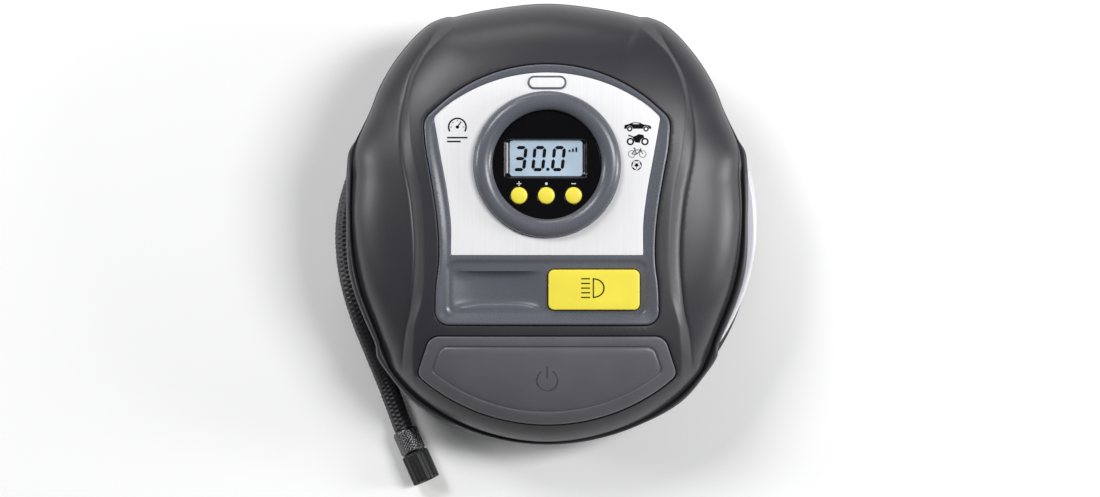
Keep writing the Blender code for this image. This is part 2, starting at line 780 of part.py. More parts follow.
def build_bracket(material, rubber):
    outline = ((-51.0, -15.3), (30.2, -15.3), (30.2, -42.0), (33.6, -42.0), (33.6, -12.3), (-51.0, -12.3))
    bracket = cut(
        prism(outline, 14.0, 54.0),
        moved(rod(3.4, -20.0, -8.0, 16), along_y(MOTOR_X, 0.0, DRIVE_HEIGHT)),
        moved(rod(5.4, -20.0, -8.0, 20), along_y(CRANK_X, 0.0, DRIVE_HEIGHT)),
        moved(rod(10.6, 28.0, 36.0, 28), along_x(0.0, CYLINDER_Y, DRIVE_HEIGHT)),
    )
    add_node("compressor_bracket", bracket, material)
    for number, (x, y, top) in enumerate(MOUNT_PLACES, 1):
        mount = ((0.0, TRAY_FLOOR + GAP), (5.0, TRAY_FLOOR + GAP), (4.0, 9.5), (5.0, top), (0.0, top))
        add_node(f"rubber_mount_{number}", turned(mount, 16), rubber, Matrix.Translation((x, y, 0.0)))


def build_crank(gear_material, steel, brass):
    place = along_y(CRANK_X, 0.0, DRIVE_HEIGHT)
    gear = prism(gear_outline(CRANK_TEETH, 0.0), -20.0, -16.0)
    add_node("crank_gear", cut(gear, rod(3.3, -23.0, -13.0, 16)), gear_material, place)
    add_node("crank_axle", rod(3.0, -20.0, -9.0, 16), steel, place)
    bearing = ((3.3, -15.2), (5.1, -15.2), (5.1, -12.4), (3.3, -12.4))
    add_node("crank_bearing", turned(bearing, 20), brass, place)
    pin_place = along_y(CRANK_X + CRANK_THROW, 0.0, DRIVE_HEIGHT)
    add_node("crank_pin", rod(2.2, -23.6, -20.3, 14), steel, pin_place)


def build_piston_and_cylinder(aluminium, steel, black):
    crank_end = CRANK_X + CRANK_THROW
    level = Matrix.Translation((0.0, CYLINDER_Y, DRIVE_HEIGHT))
    big_end = moved(rod(6.2, -2.1, 2.1, 20), along_y(crank_end, 0.0, 0.0))
    bar = block((crank_end + 4.0, -2.1, -3.2), (49.0, 2.1, 3.2))
    disc = moved(rod(9.4, 48.0, 50.5, 28), along_x(0.0, 0.0, 0.0))
    bore = moved(rod(2.7, -4.0, 4.0, 16), along_y(crank_end, 0.0, 0.0))
    add_node("piston_rod", cut(fuse(big_end, bar, disc), bore), aluminium, level)

    axis = along_x(0.0, CYLINDER_Y, DRIVE_HEIGHT)
    seal = ((0.0, 50.8), (9.0, 50.8), (9.9, 53.4), (9.2, 53.6), (8.0, 52.0), (0.0, 52.0))
    add_node("piston_seal", turned(seal, 24), black, axis)

    barrel = [(10.2, 34.0), (13.6, 34.0), (13.6, 36.0)]
    for fin in range(4):
        start = 38.0 + fin * 5.0
        barrel += [(12.0, start), (15.0, start + 0.1), (15.0, start + 1.3), (12.0, start + 1.4)]
    barrel += [(12.0, 58.6), (10.2, 58.6)]
    add_node("cylinder", turned(barrel, 20), aluminium, axis)
    add_node("valve_plate", rod(12.2, 58.9, 60.4, 28), steel, axis)

    square = rounded_rectangle((-11.4, -11.4), (11.4, 11.4), 4.0)
    head = prism(square, 60.7, 68.4)
    nipple = moved(turned(((0.0, 0.0), (3.4, 0.0), (3.4, 14.6), (2.6, 15.2), (2.6, 16.6), (0.0, 16.6)), 16),
                   Matrix.Translation((0.0, 0.0, 64.5)) @ Matrix.Rotation(math.radians(-90.0), 4, "Y"))
    add_node("cylinder_head", fuse(head, nipple), aluminium, axis)


def build_air_tube(material):
    knots = [Vector(knot) for knot in (
        (64.5, -26.0, 51.2), (64.5, -26.6, 53.6), (60.0, -33.5, 55.6), (51.0, -43.0, 52.5),
        (37.0, -50.5, 46.0), (19.0, -59.0, 39.5), (0.0, -65.5, 35.0), (-15.0, -69.5, 29.5),
        (-23.5, -71.0, 25.0), (-28.0, -72.6, 22.9),
    )]
    add_tube("air_tube", spline_points(knots, 7.0), 5.0, material, 2)


# ---------------------------------------------------------------- hose and lead

def hose_route():
    """From the gland round the channel, out under the left wing and down to the floor."""
    channel = [polar(azimuth, HOSE_LINE_RADIUS, HOSE_LINE_HEIGHT) for azimuth in (
        HOSE_START_AZIMUTH, *range(-100, 101, 20), 118.0, 134.0)]
    free = [Vector(knot) for knot in (
        (-75.8, 46.6, 22.3), (-84.4, 31.6, 22.3), (-90.2, 14.5, 22.4), (-92.3, 0.0, 22.4),
        (-91.6, -14.5, 22.3), (-89.0, -28.0, 22.1), (-84.8, -41.5, 19.2), (-79.3, -55.5, 13.2),
        (-74.4, -67.5, 8.2), (-70.2, -78.5, 6.5),
    )]
    return channel + free + [FERRULE_START - END_DIRECTION * GAP]


def build_hose(braid, plastic, chrome, rubber, brass):
    add_tube("air_hose", spline_points(hose_route(), 13.0), HOSE_DIAMETER, braid, 2)

    start = polar(HOSE_START_AZIMUTH, HOSE_LINE_RADIUS, HOSE_LINE_HEIGHT)
    run = Vector((-start.y, start.x, 0.0)).normalized()
    seat = block((-4.8, -6.0, -4.2), (4.8, 5.0, 4.6))
    frame = Matrix.Translation(start - run * 6.6)
    frame = frame @ Matrix.Rotation(math.atan2(run.y, run.x), 4, "Z")
    seat = moved(seat, frame)
    barrel = turned(((0.0, -1.0), (4.5, -1.0), (4.4, 5.8), (0.0, 5.8)), 20)
    barrel = moved(barrel, along(run, start - run * 6.6))
    gland = fuse(seat, barrel)
    keep_out = turned(((0.0, 0.0), (TRAY_WALL[1] + GAP, 0.0), (TRAY_WALL[1] + GAP, 40.0), (0.0, 40.0)), 96)
    add_node("hose_gland", cut(gland, keep_out), plastic)

    ferrule = [(0.0, 0.0), (5.2, 0.0), (5.65, 0.5)]
    for ring in range(2):
        top = 3.2 + ring * 3.6
        ferrule += [(5.65, top), (5.35, top + 0.4), (5.65, top + 0.8)]
    ferrule += [(5.65, FERRULE_LENGTH - 0.8), (5.2, FERRULE_LENGTH - GAP), (0.0, FERRULE_LENGTH - GAP)]
    add_node("hose_ferrule", turned(ferrule, 20), chrome, along(END_DIRECTION, FERRULE_START))

    place = along(END_DIRECTION, FERRULE_START + END_DIRECTION * FERRULE_LENGTH)
    sections = []
    ribs = 18
    for height, shrink in ((0.0, 0.7), (0.8, 0.0), (CONNECTOR_LENGTH - 0.8, 0.0), (CONNECTOR_LENGTH, 0.3)):
        section = []
        for rib in range(ribs):
            for offset, radius in ((-6.5, 5.85), (-3.5, 6.25), (3.5, 6.25), (6.5, 5.85)):
                section.append(polar(rib * 20.0 + offset, radius - shrink, height))
        sections.append(section)
    nut = cut(loft(sections), rod(4.9, 4.0, CONNECTOR_LENGTH + 3.0, 18))
    add_node("valve_connector", nut, rubber, place)
    insert = ((3.9, 4.4), (4.55, 4.4), (4.55, CONNECTOR_LENGTH - 0.6), (3.9, CONNECTOR_LENGTH - 0.6))
    add_node("thread_insert", turned(insert, 18), brass, place)
    pin = ((0.0, 4.4), (3.3, 4.4), (3.3, 5.2), (0.7, 5.5), (0.7, 7.4), (0.0, 7.6))
    add_node("valve_pin", turned(pin, 14), brass, place)


def build_lead_gland(material):
    """Ring gland of the power lead, in the groove under the base, at the back."""
    profile = ((1.8, 0.0), (4.6, 0.0), (4.6, 1.2), (3.4, 1.6), (2.9, 5.0), (1.8, 5.0))
    add_node("lead_gland", turned(profile, 16), material, along_y(0.0, LEAD_GROOVE + GAP, 9.2))


# ---------------------------------------------------------------- the whole object

def main():
    clear_scene()
    shell_grey = make_material("shell_grey", (0.052, 0.050, 0.058), 0.42)
    tray_black = make_material("tray_black", (0.018, 0.018, 0.020), 0.5)
    frame_grey = make_material("frame_grey", (0.13, 0.13, 0.145), 0.38)
    button_grey = make_material("button_grey", (0.12, 0.12, 0.13), 0.42)
    brushed = make_material("brushed_silver", (0.62, 0.63, 0.65), 0.3, 1.0)
    glossy = make_material("window_black", (0.008, 0.008, 0.010), 0.08)
    lcd = make_material("lcd_blue", (0.45, 0.58, 0.68), 0.2)
    yellow = make_material("button_yellow", (0.83, 0.72, 0.10), 0.35)
    lens = make_material("lens_white", (0.80, 0.80, 0.84), 0.25)
    rubber = make_material("rubber_black", (0.02, 0.02, 0.02), 0.7)
    steel = make_material("steel", (0.55, 0.55, 0.56), 0.3, 1.0)
    aluminium = make_material("aluminium", (0.62, 0.62, 0.63), 0.4, 1.0)
    brass = make_material("brass", (0.60, 0.42, 0.16), 0.3, 1.0)
    chrome = make_material("chrome", (0.70, 0.70, 0.72), 0.12, 1.0)
    plastic = make_material("plastic_black", (0.03, 0.03, 0.032), 0.45)
    board = make_material("board_green", (0.02, 0.16, 0.06), 0.4)
    magnet = make_material("magnet", (0.08, 0.08, 0.09), 0.5)
    copper = make_material("copper", (0.48, 0.22, 0.12), 0.4, 1.0)
    nylon = make_material("nylon_white", (0.72, 0.71, 0.66), 0.5)
    braid = make_material("hose_braid", (0.03, 0.03, 0.033), 0.6)

    build_top_shell(shell_grey)
    build_base_tray(tray_black)
    build_feet_and_screws(rubber, steel)
    build_light(lens, board)
    build_control_frame(frame_grey)
    build_silver_plate(brushed)
    build_display(frame_grey, glossy, lcd)
    build_round_buttons(yellow, plastic)
    build_light_button(yellow, plastic)
    build_power_button(button_grey, plastic)
    build_main_board(board, plastic)
    build_motor(steel, plastic, copper, magnet, brass)
    build_bracket(aluminium, rubber)
    build_crank(nylon, steel, brass)
    build_piston_and_cylinder(aluminium, steel, rubber)
    build_air_tube(nylon)
    build_hose(braid, plastic, chrome, rubber, brass)
    build_lead_gland(plastic)


main()
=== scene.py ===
"""Looks of the portable tire inflator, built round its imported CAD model.

World frame: +X is the right side, +Y the back, +Z up, origin on the floor under the middle.
Lengths are in millimetres and azimuths in degrees. add_mesh turns them into metres.
The sloping face has its own frame: u to the right, v to the back, w out of the face.
"""

import json
import math

import bmesh
import bpy
import numpy as np
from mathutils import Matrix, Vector, kdtree
from mathutils.geometry import delaunay_2d_cdt


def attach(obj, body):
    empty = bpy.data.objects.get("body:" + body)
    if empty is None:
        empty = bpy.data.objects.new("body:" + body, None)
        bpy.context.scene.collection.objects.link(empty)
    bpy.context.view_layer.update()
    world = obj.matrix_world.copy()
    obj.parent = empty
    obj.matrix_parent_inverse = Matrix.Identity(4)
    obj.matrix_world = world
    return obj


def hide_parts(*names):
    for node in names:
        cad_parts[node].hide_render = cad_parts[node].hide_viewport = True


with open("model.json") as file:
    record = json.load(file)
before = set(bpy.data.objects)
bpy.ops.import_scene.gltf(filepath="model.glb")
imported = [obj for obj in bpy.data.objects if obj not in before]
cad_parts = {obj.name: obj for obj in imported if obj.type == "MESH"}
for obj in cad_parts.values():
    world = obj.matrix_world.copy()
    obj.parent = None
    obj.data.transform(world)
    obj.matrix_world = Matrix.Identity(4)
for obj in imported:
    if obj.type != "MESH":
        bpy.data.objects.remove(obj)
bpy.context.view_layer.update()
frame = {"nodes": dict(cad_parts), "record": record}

MM = 0.001

# Driving dimensions, the same as in the CAD model.
FACE_TILT = 7.0
FACE_CENTRE = np.array((0.0, -3.8, 72.0))
SKIN = 2.4
GAP = 0.3
DOME_EDGE = (
    (-90, 98.0), (-75, 97.6), (-60, 97.0), (-44, 94.8), (-39, 91.7), (-30, 88.3), (-21, 87.1),
    (-10, 86.3), (0, 86.5), (13, 88.3), (21, 92.0), (32, 93.7), (39, 96.7), (50, 101.1),
    (59, 104.1), (64, 103.3), (66, 101.8), (78, 99.3), (90, 99.0),
)
CALM_EDGE = (
    (-90, 98.0), (-60, 96.6), (-30, 89.4), (0, 86.8), (30, 93.0), (45, 98.2),
    (60, 101.6), (75, 100.4), (90, 99.0),
)
LIP_EDGE = (
    (-90, 99.3), (-66, 99.5), (-53, 100.2), (-44, 98.3), (-38, 96.9), (-35, 94.2), (-27, 92.4),
    (-15, 91.5), (0, 89.9), (8, 91.0), (16, 93.4), (20, 94.6), (24, 93.6), (32, 94.1), (39, 97.1),
    (50, 101.5), (59, 104.5), (64, 103.7), (66, 102.2), (78, 99.7), (90, 99.4),
)
EDGE_DEPTH = ((-90, 27.6), (-60, 27.2), (-40, 25.5), (-20, 23.0), (0, 22.0), (20, 24.0), (45, 29.0),
              (60, 33.0), (90, 34.3))
STRIP_OUTER = ((-90, 66.0), (-52, 63.4), (-36, 60.3), (-13, 58.6), (10, 60.3), (28, 63.8), (41, 64.9),
               (55, 63.4), (67, 60.3), (81, 52.5), (95, 45.5))
STRIP_INNER = ((-90, 60.0), (-47, 58.7), (-31, 54.6), (-8, 53.9), (15, 55.6), (31, 59.2), (46, 61.0),
               (58, 60.7), (74, 54.6), (95, 38.0))
SPINE_POWER = 5.0
CHEEK_POWER = 4.0
STRIP_STEP = 1.2
SEAM_HEIGHT = 29.5
SEAM_TOP = 32.0
SEAM_RADIUS = 83.5
LIP_THICKNESS = 2.5
LENS_RADIUS = 94.2
LENS_SKIN = 1.2
BASE_EDGE = ((-90, 96.2), (-66, 96.4), (-60, 98.4), (-50, 98.2), (-40, 96.4), (-20, 94.8), (0, 94.5),
             (45, 95.0), (90, 95.0))
HOSE_NOTCH_AZIMUTH = 211.0
HOSE_NOTCH_HALF_WIDTH = 17.0
HOSE_NOTCH_DEPTH = 8.5
TRAY_BOTTOM = 3.0
TRAY_FLOOR = 5.5
TRAY_WALL = (80.6, 83.0)
TRAY_WALL_TOP = 33.0
CHANNEL_FLOOR = 17.5
LEAD_GROOVE = 84.9
LEAD_GROOVE_TOP = 14.7
SCREW_PLACES = ((61.0, -43.5), (-61.0, -43.5), (60.0, 42.0), (-60.0, 42.0))
RING_CENTRE = (0.0, 25.7)
RING_OUTER = 32.3
RING_INNER = 24.0
BUTTON_ROW_V = 12.1
BUTTON_RADIUS = 3.65
BUTTON_PLACES = {"button_plus": -12.3, "button_mode": -0.3, "button_minus": 11.7}
HOSE_DIAMETER = 9.0
HOSE_LINE_RADIUS = 88.3
HOSE_LINE_HEIGHT = 22.3
HOSE_START_AZIMUTH = -110.0
FERRULE_START = np.array((-65.5, -91.0, 6.3))
END_DIRECTION = np.array((0.4147, -0.91, 0.0)) / math.hypot(0.4147, 0.91)
FERRULE_LENGTH = 11.3
CONNECTOR_LENGTH = 13.9

# Fineness of the looks.
RIM_COUNT = 600
FIELD_SHARE = 0.95
FIELD_SPACING = 1.35


# ---------------------------------------------------------------- curves and outlines

def smoothstep(low, high, value):
    share = np.clip((value - low) / (high - low), 0.0, 1.0)
    return share * share * (3.0 - 2.0 * share)


def curve_value(pairs, place):
    """A smooth curve through (place, value) pairs, flat at both ends, read at an array of places."""
    knots, values = np.array(pairs, float).T
    slopes = np.zeros(len(knots))
    slopes[1:-1] = (values[2:] - values[:-2]) / (knots[2:] - knots[:-2])
    place = np.clip(place, knots[0], knots[-1])
    index = np.clip(np.searchsorted(knots, place) - 1, 0, len(knots) - 2)
    length = knots[index + 1] - knots[index]
    t = (place - knots[index]) / length
    return (
        (2 * t ** 3 - 3 * t ** 2 + 1) * values[index]
        + (t ** 3 - 2 * t ** 2 + t) * length * slopes[index]
        + (3 * t ** 2 - 2 * t ** 3) * values[index + 1]
        + (t ** 3 - t ** 2) * length * slopes[index + 1]
    )


def half_turn_value(pairs, azimuth):
    """Read a half outline given from -90 to 90 degrees, mirrored for the left side."""
    return curve_value(pairs, np.degrees(np.arcsin(np.sin(np.radians(azimuth)))))


def turn(count, start=0.0):
    """Azimuths of a full turn."""
    return start + np.arange(count) * 360.0 / count


def polar(azimuth, radius):
    """Flat points at an azimuth and a radius."""
    angle = np.radians(azimuth)
    return np.stack((radius * np.cos(angle), radius * np.sin(angle)), axis=-1)


def raised(flat, height):
    """Flat points given a height."""
    flat = np.asarray(flat, float)
    return np.column_stack((flat, np.broadcast_to(height, len(flat))))


def on_face(points):
    """Points of the face frame, in the world frame."""
    tilt = math.radians(FACE_TILT)
    across, back, out = np.asarray(points, float).T
    return np.stack((
        across,
        back * math.cos(tilt) - out * math.sin(tilt),
        back * math.sin(tilt) + out * math.cos(tilt),
    ), axis=-1) + FACE_CENTRE


def hermite(start, end, leave, arrive, count):
    """Points on a smooth curve from start to end, without its last point."""
    t = (np.arange(count) / count)[:, None]
    return (
        (2 * t ** 3 - 3 * t ** 2 + 1) * start + (t ** 3 - 2 * t ** 2 + t) * leave
        + (3 * t ** 2 - 2 * t ** 3) * end + (t ** 3 - t ** 2) * arrive
    )


def unit(vector):
    return vector / np.linalg.norm(vector)


def outline(corners, spacing=0.9):
    """A closed outline through (x, y, radius) corners: an arc where there is a radius, else a smooth curve."""
    count = len(corners)
    flats = [np.array(corner[:2], float) for corner in corners]
    spans = []
    for index, (_, _, radius) in enumerate(corners):
        here = flats[index]
        back = unit(flats[index - 1] - here)
        ahead = unit(flats[(index + 1) % count] - here)
        if radius == 0.0:
            before = np.linalg.norm(flats[index - 1] - here)
            after = np.linalg.norm(flats[(index + 1) % count] - here)
            heading = unit(-back / before + ahead / after)
            spans.append(([here], heading, heading))
            continue
        half = math.acos(np.clip(back @ ahead, -1.0, 1.0)) / 2
        reach = radius / math.tan(half)
        middle = here + unit(back + ahead) * radius / math.sin(half)
        start = here + back * reach - middle
        end = here + ahead * reach - middle
        sweep = math.atan2(start[0] * end[1] - start[1] * end[0], start @ end)
        steps = max(4, round(abs(sweep) * radius / spacing))
        arc = []
        for step in range(steps + 1):
            angle = sweep * step / steps
            cosine, sine = math.cos(angle), math.sin(angle)
            arc.append(middle + np.array((cosine * start[0] - sine * start[1],
                                          sine * start[0] + cosine * start[1])))
        spans.append((arc, -back, ahead))
    points = []
    for index, (arc, _, leave) in enumerate(spans):
        points += arc[:-1]
        following, arrive, _ = spans[(index + 1) % count]
        length = np.linalg.norm(following[0] - arc[-1])
        steps = max(1, round(length / spacing))
        points += list(hermite(arc[-1], following[0], leave * length, arrive * length, steps))
    return np.array(points)


def box_outline(low, high, radius, spacing=0.9):
    return outline((
        (low[0], low[1], radius), (high[0], low[1], radius),
        (high[0], high[1], radius), (low[0], high[1], radius),
    ), spacing)


def circle(radius, middle=(0.0, 0.0), count=96):
    return polar(turn(count), radius) + np.array(middle)


def grown(flat, amount):
    """A closed outline moved outwards by an amount, or inwards by a negative one."""
    after = np.roll(flat, -1, axis=0)
    before = np.roll(flat, 1, axis=0)
    area = np.sum(flat[:, 0] * after[:, 1] - after[:, 0] * flat[:, 1])
    first = flat - before
    second = after - flat
    first /= np.linalg.norm(first, axis=1)[:, None]
    second /= np.linalg.norm(second, axis=1)[:, None]
    heading = first + second
    heading /= np.linalg.norm(heading, axis=1)[:, None]
    widen = 1.0 / np.maximum(np.sum(heading * second, axis=1), 0.4)
    side = 1.0 if area > 0.0 else -1.0
    return flat + side * amount * np.column_stack((heading[:, 1], -heading[:, 0])) * widen[:, None]


def inside(points, loop):
    """Which points lie inside a closed outline."""
    x, y = points[:, 0][:, None], points[:, 1][:, None]
    x1, y1 = loop[:, 0], loop[:, 1]
    x2, y2 = np.roll(x1, -1), np.roll(y1, -1)
    crosses = (y1 > y) != (y2 > y)
    rise = np.where(y2 == y1, 1.0, y2 - y1)
    left = x < (x2 - x1) * (y - y1) / rise + x1
    return np.sum(crosses & left, axis=1) % 2 == 1


# ---------------------------------------------------------------- meshes in millimetres

class Solid:
    """The points and faces of one mesh."""

    def __init__(self):
        self.points = []
        self.faces = []

    def loop(self, points):
        """Add a row of points and return their numbers."""
        start = len(self.points)
        self.points.extend(np.asarray(points, float).tolist())
        return list(range(start, start + len(points)))

    def band(self, low, high, closed=True):
        """Faces between two rows of equal length."""
        count = len(low)
        for index in range(count if closed else count - 1):
            after = (index + 1) % count
            self.faces.append((low[index], low[after], high[after], high[index]))

    def bands(self, rows, closed=True):
        """Add several rows with bands between them. Returns the numbers of all rows."""
        loops = [self.loop(row) for row in rows]
        for low, high in zip(loops, loops[1:]):
            self.band(low, high, closed)
        return loops

    def cap(self, row):
        self.faces.append(tuple(row))

    def pole(self, row, point):
        """A fan from a row to one point."""
        tip = self.loop([point])[0]
        for index in range(len(row)):
            self.faces.append((row[index], row[(index + 1) % len(row)], tip))

    def fill(self, rows, flats, place, spacing, lines=()):
        """Triangles inside the first row and outside the others, over extra points about one spacing apart.

        rows are numbers of points that are there already, flats their flat places, and place turns
        flat places into points. lines are open rows of flat places that edges have to follow.
        """
        rim = flats[0]
        known = np.concatenate([*flats, *lines])
        low, high = rim.min(axis=0), rim.max(axis=0)
        across = np.arange(low[0], high[0] + spacing, spacing)
        upward = np.arange(low[1], high[1] + spacing, spacing * math.sqrt(0.75))
        grid = np.stack(np.meshgrid(across, upward), axis=-1)
        grid[1::2, :, 0] += spacing / 2
        grid = grid.reshape(-1, 2)
        keep = inside(grid, rim)
        for hole in flats[1:]:
            keep &= ~inside(grid, hole)
        grid = grid[keep]
        tree = kdtree.KDTree(len(known))
        for index, (x, y) in enumerate(known):
            tree.insert((x, y, 0.0), index)
        tree.balance()
        clear = [tree.find((x, y, 0.0))[2] > spacing * 0.55 for x, y in grid]
        grid = grid[np.array(clear, bool)] if len(grid) else grid
        loose = np.concatenate([*lines, grid]) if len(lines) else grid
        numbers = [number for row in rows for number in row]
        if len(loose):
            numbers += self.loop(place(loose))
        flat = np.concatenate([*flats, loose]) if len(loose) else np.concatenate(flats)
        edges = []
        start = 0
        for row in flats:
            edges += [(start + index, start + (index + 1) % len(row)) for index in range(len(row))]
            start += len(row)
        for row in lines:
            edges += [(start + index, start + index + 1) for index in range(len(row) - 1)]
            start += len(row)
        spots, _, triangles, origins, _, _ = delaunay_2d_cdt(
            [Vector(point) for point in flat], edges, [], 0, 1e-5)
        spots = np.array(spots)
        triangles = np.array(triangles)
        middles = spots[triangles].mean(axis=1)
        keep = inside(middles, rim)
        for hole in flats[1:]:
            keep &= ~inside(middles, hole)
        for triangle in triangles[keep]:
            self.faces.append(tuple(numbers[origins[corner][0]] for corner in triangle))


def add_mesh(name, solid, material, body="housing", sharp=35.0):
    """One finished piece: faces turned outwards, shaded smooth up to a sharp angle, riding on its body."""
    mesh = bpy.data.meshes.new(name)
    mesh.from_pydata((np.array(solid.points) * MM).tolist(), [], solid.faces)
    tidy = bmesh.new()
    tidy.from_mesh(mesh)
    bmesh.ops.recalc_face_normals(tidy, faces=tidy.faces)
    tidy.to_mesh(mesh)
    tidy.free()
    mesh.shade_smooth()
    mesh.set_sharp_from_angle(angle=math.radians(sharp))
    mesh.materials.append(material)
    piece = bpy.data.objects.new(name, mesh)
    bpy.context.scene.collection.objects.link(piece)
    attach(piece, body)
    return piece


def stand_for(piece, node):
    """The piece replaces a CAD node, which is hidden from view and render."""
    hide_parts(node)
    return piece


def turned(profile, sides, place=on_face, middle=(0.0, 0.0)):
    """Revolve (radius, height) pairs about the w axis at a middle; a radius of 0 makes a pole."""
    solid = Solid()
    rows = []
    for radius, height in profile:
        if radius > 0.0:
            rows.append(solid.loop(place(raised(circle(radius, middle, sides), height))))
    for low, high in zip(rows, rows[1:]):
        solid.band(low, high)
    for row, (radius, height) in ((rows[0], profile[0]), (rows[-1], profile[-1])):
        if radius == 0.0:
            solid.pole(row, place(np.array([(*middle, height)]))[0])
    if profile[0][0] > 0.0:
        solid.band(rows[-1], rows[0])
    return solid


def arc_profile(middle, radius, start, end, steps):
    """(radius, height) pairs along an arc of a section, angles in degrees."""
    pairs = []
    for step in range(steps + 1):
        angle = math.radians(start + (end - start) * step / steps)
        pairs.append((middle[0] + radius * math.cos(angle), middle[1] + radius * math.sin(angle)))
    return pairs


# ---------------------------------------------------------------- the dome

def dome_depth(azimuth, share, power):
    fullness = 1.0 - np.minimum(share, 1.0) ** power
    return -half_turn_value(EDGE_DEPTH, azimuth) * (1.0 - np.sqrt(np.maximum(fullness, 0.0)))


def place_on_dome(flat):
    """Azimuth and share of the way to the edge of each place, with the edge's corners calmed further in."""
    u, v = np.asarray(flat, float).T
    azimuth = np.degrees(np.arctan2(v, u))
    reach = np.hypot(u, v)
    edge = half_turn_value(DOME_EDGE, azimuth)
    calm = half_turn_value(CALM_EDGE, azimuth)
    return azimuth, reach / (calm + (edge - calm) * smoothstep(0.7, 1.0, reach / edge))


def spine_height(flat):
    azimuth, share = place_on_dome(flat)
    return dome_depth(azimuth, share, SPINE_POWER)


def chamfer(t):
    """Nought to one along a straight slope with slightly rounded ends."""
    soft = 0.08
    t = np.clip(t, -soft, 1.0 + soft)
    low = (t + soft) ** 2 / (4 * soft)
    high = 1.0 - (1.0 + soft - t) ** 2 / (4 * soft)
    return np.where(t < soft, low, np.where(t > 1.0 - soft, high, t))


def shell_height(flat):
    """Height of the outer skin over the face plane: spine, chamfered crease strip and bulging cheek."""
    u, v = np.asarray(flat, float).T
    azimuth, share = place_on_dome(flat)
    spine = dome_depth(azimuth, share, SPINE_POWER)
    cheek = dome_depth(azimuth, share, CHEEK_POWER) - STRIP_STEP * (1.0 - share ** 8)
    inner = curve_value(STRIP_INNER, v)
    outer = curve_value(STRIP_OUTER, v)
    across = (np.abs(u) - inner) / (outer - inner)
    fade = 1.0 - np.minimum(share, 1.0) ** 8
    crease = CREASE_DEPTH * np.exp(-((np.abs(u) - outer) / CREASE_WIDTH) ** 2) * fade
    return spine + (cheek - spine) * chamfer(across) - crease


CREASE_DEPTH = 0.55
CREASE_WIDTH = 0.55


def skin_place(flat):
    return on_face(raised(flat, shell_height(flat)))


def inner_skin_place(flat):
    return on_face(raised(flat, shell_height(flat) - SKIN - 0.2))


def frame_corners():
    top, radius = 70.1, 71.7
    arc = [(u, top - radius + math.sqrt(radius ** 2 - u ** 2), 0.0) for u in (0, 10, 20, 29, 37, 44, 49.5)]
    side = [(54.6, 45.8, 8.0), (53.5, 34, 0), (51, 20, 0), (48.8, 6.5, 0), (47.5, -8, 0),
            (47.5, -16.5, 0), (48.9, -29, 0), (49.4, -44.9, 6.0)]
    return arc + side


def plate_corners():
    top, radius = 66.4, 74.7
    arc = [(u, top - radius + math.sqrt(radius ** 2 - u ** 2), 0.0) for u in (0, 10, 20, 29, 37, 45.5)]
    side = [(50.0, 46.8, 2.5), (46.8, 29, 0), (43.9, 13, 0), (42.4, 0.4, 0), (42.3, -14.2, 0.6)]
    return arc + side


def power_corners(top_inset=0.0, side_inset=0.0, arc_inset=0.0, corner=6.0):
    """The power button's right half: top edge, slanting side and bottom arc, each moved inwards."""
    middle, radius = np.array((0.0, -2.6)), 86.8 - arc_inset
    start, end = np.array((51.8, -50.0)), np.array((57.7, -67.4))
    run = unit(end - start)
    start = start + np.array((run[1], -run[0])) * side_inset
    top = start + run * (-50.0 - top_inset - start[1]) / run[1]
    along = (middle - start) @ run
    reach = math.sqrt(radius ** 2 - ((middle - start) @ (middle - start) - along ** 2))
    low = start + run * (along + reach)
    arc = [(low[0] * share, middle[1] - math.sqrt(radius ** 2 - (low[0] * share) ** 2), 0.0)
           for share in (0.9, 0.76, 0.57, 0.38, 0.19, 0.0)]
    return [(0.0, top[1], 0.0), (*top, corner), (*low, corner * 0.67), *arc]


def symmetric(right_half, spacing=0.9):
    """The outline of a right half, given from the top down, and its mirror image."""
    left_half = [(-x, y, radius) for x, y, radius in reversed(right_half) if abs(x) > 0.01]
    return outline(list(right_half) + left_half, spacing)


FRAME_OUTLINE = symmetric(frame_corners())
PLATE_OUTLINE = symmetric(plate_corners())
POWER_OUTLINE = symmetric(power_corners())


def strip_lines():
    """Rows of flat places along both creases of both strips, for the mesh to follow."""
    rows = []
    v = np.arange(-92.0, 92.0, 1.1)
    for pairs, offsets in ((STRIP_INNER, (-0.45, 0.0, 0.5)), (STRIP_OUTER, (-1.0, -0.45, 0.0, 0.45, 1.0))):
        middle = curve_value(pairs, v)
        for offset in offsets:
            for side in (-1.0, 1.0):
                row = np.column_stack((side * (middle + offset), v))
                azimuth = np.degrees(np.arctan2(row[:, 1], row[:, 0]))
                limit = half_turn_value(DOME_EDGE, azimuth) * FIELD_SHARE - 0.8
                rows.append(row[np.hypot(row[:, 0], row[:, 1]) < limit])
    return rows


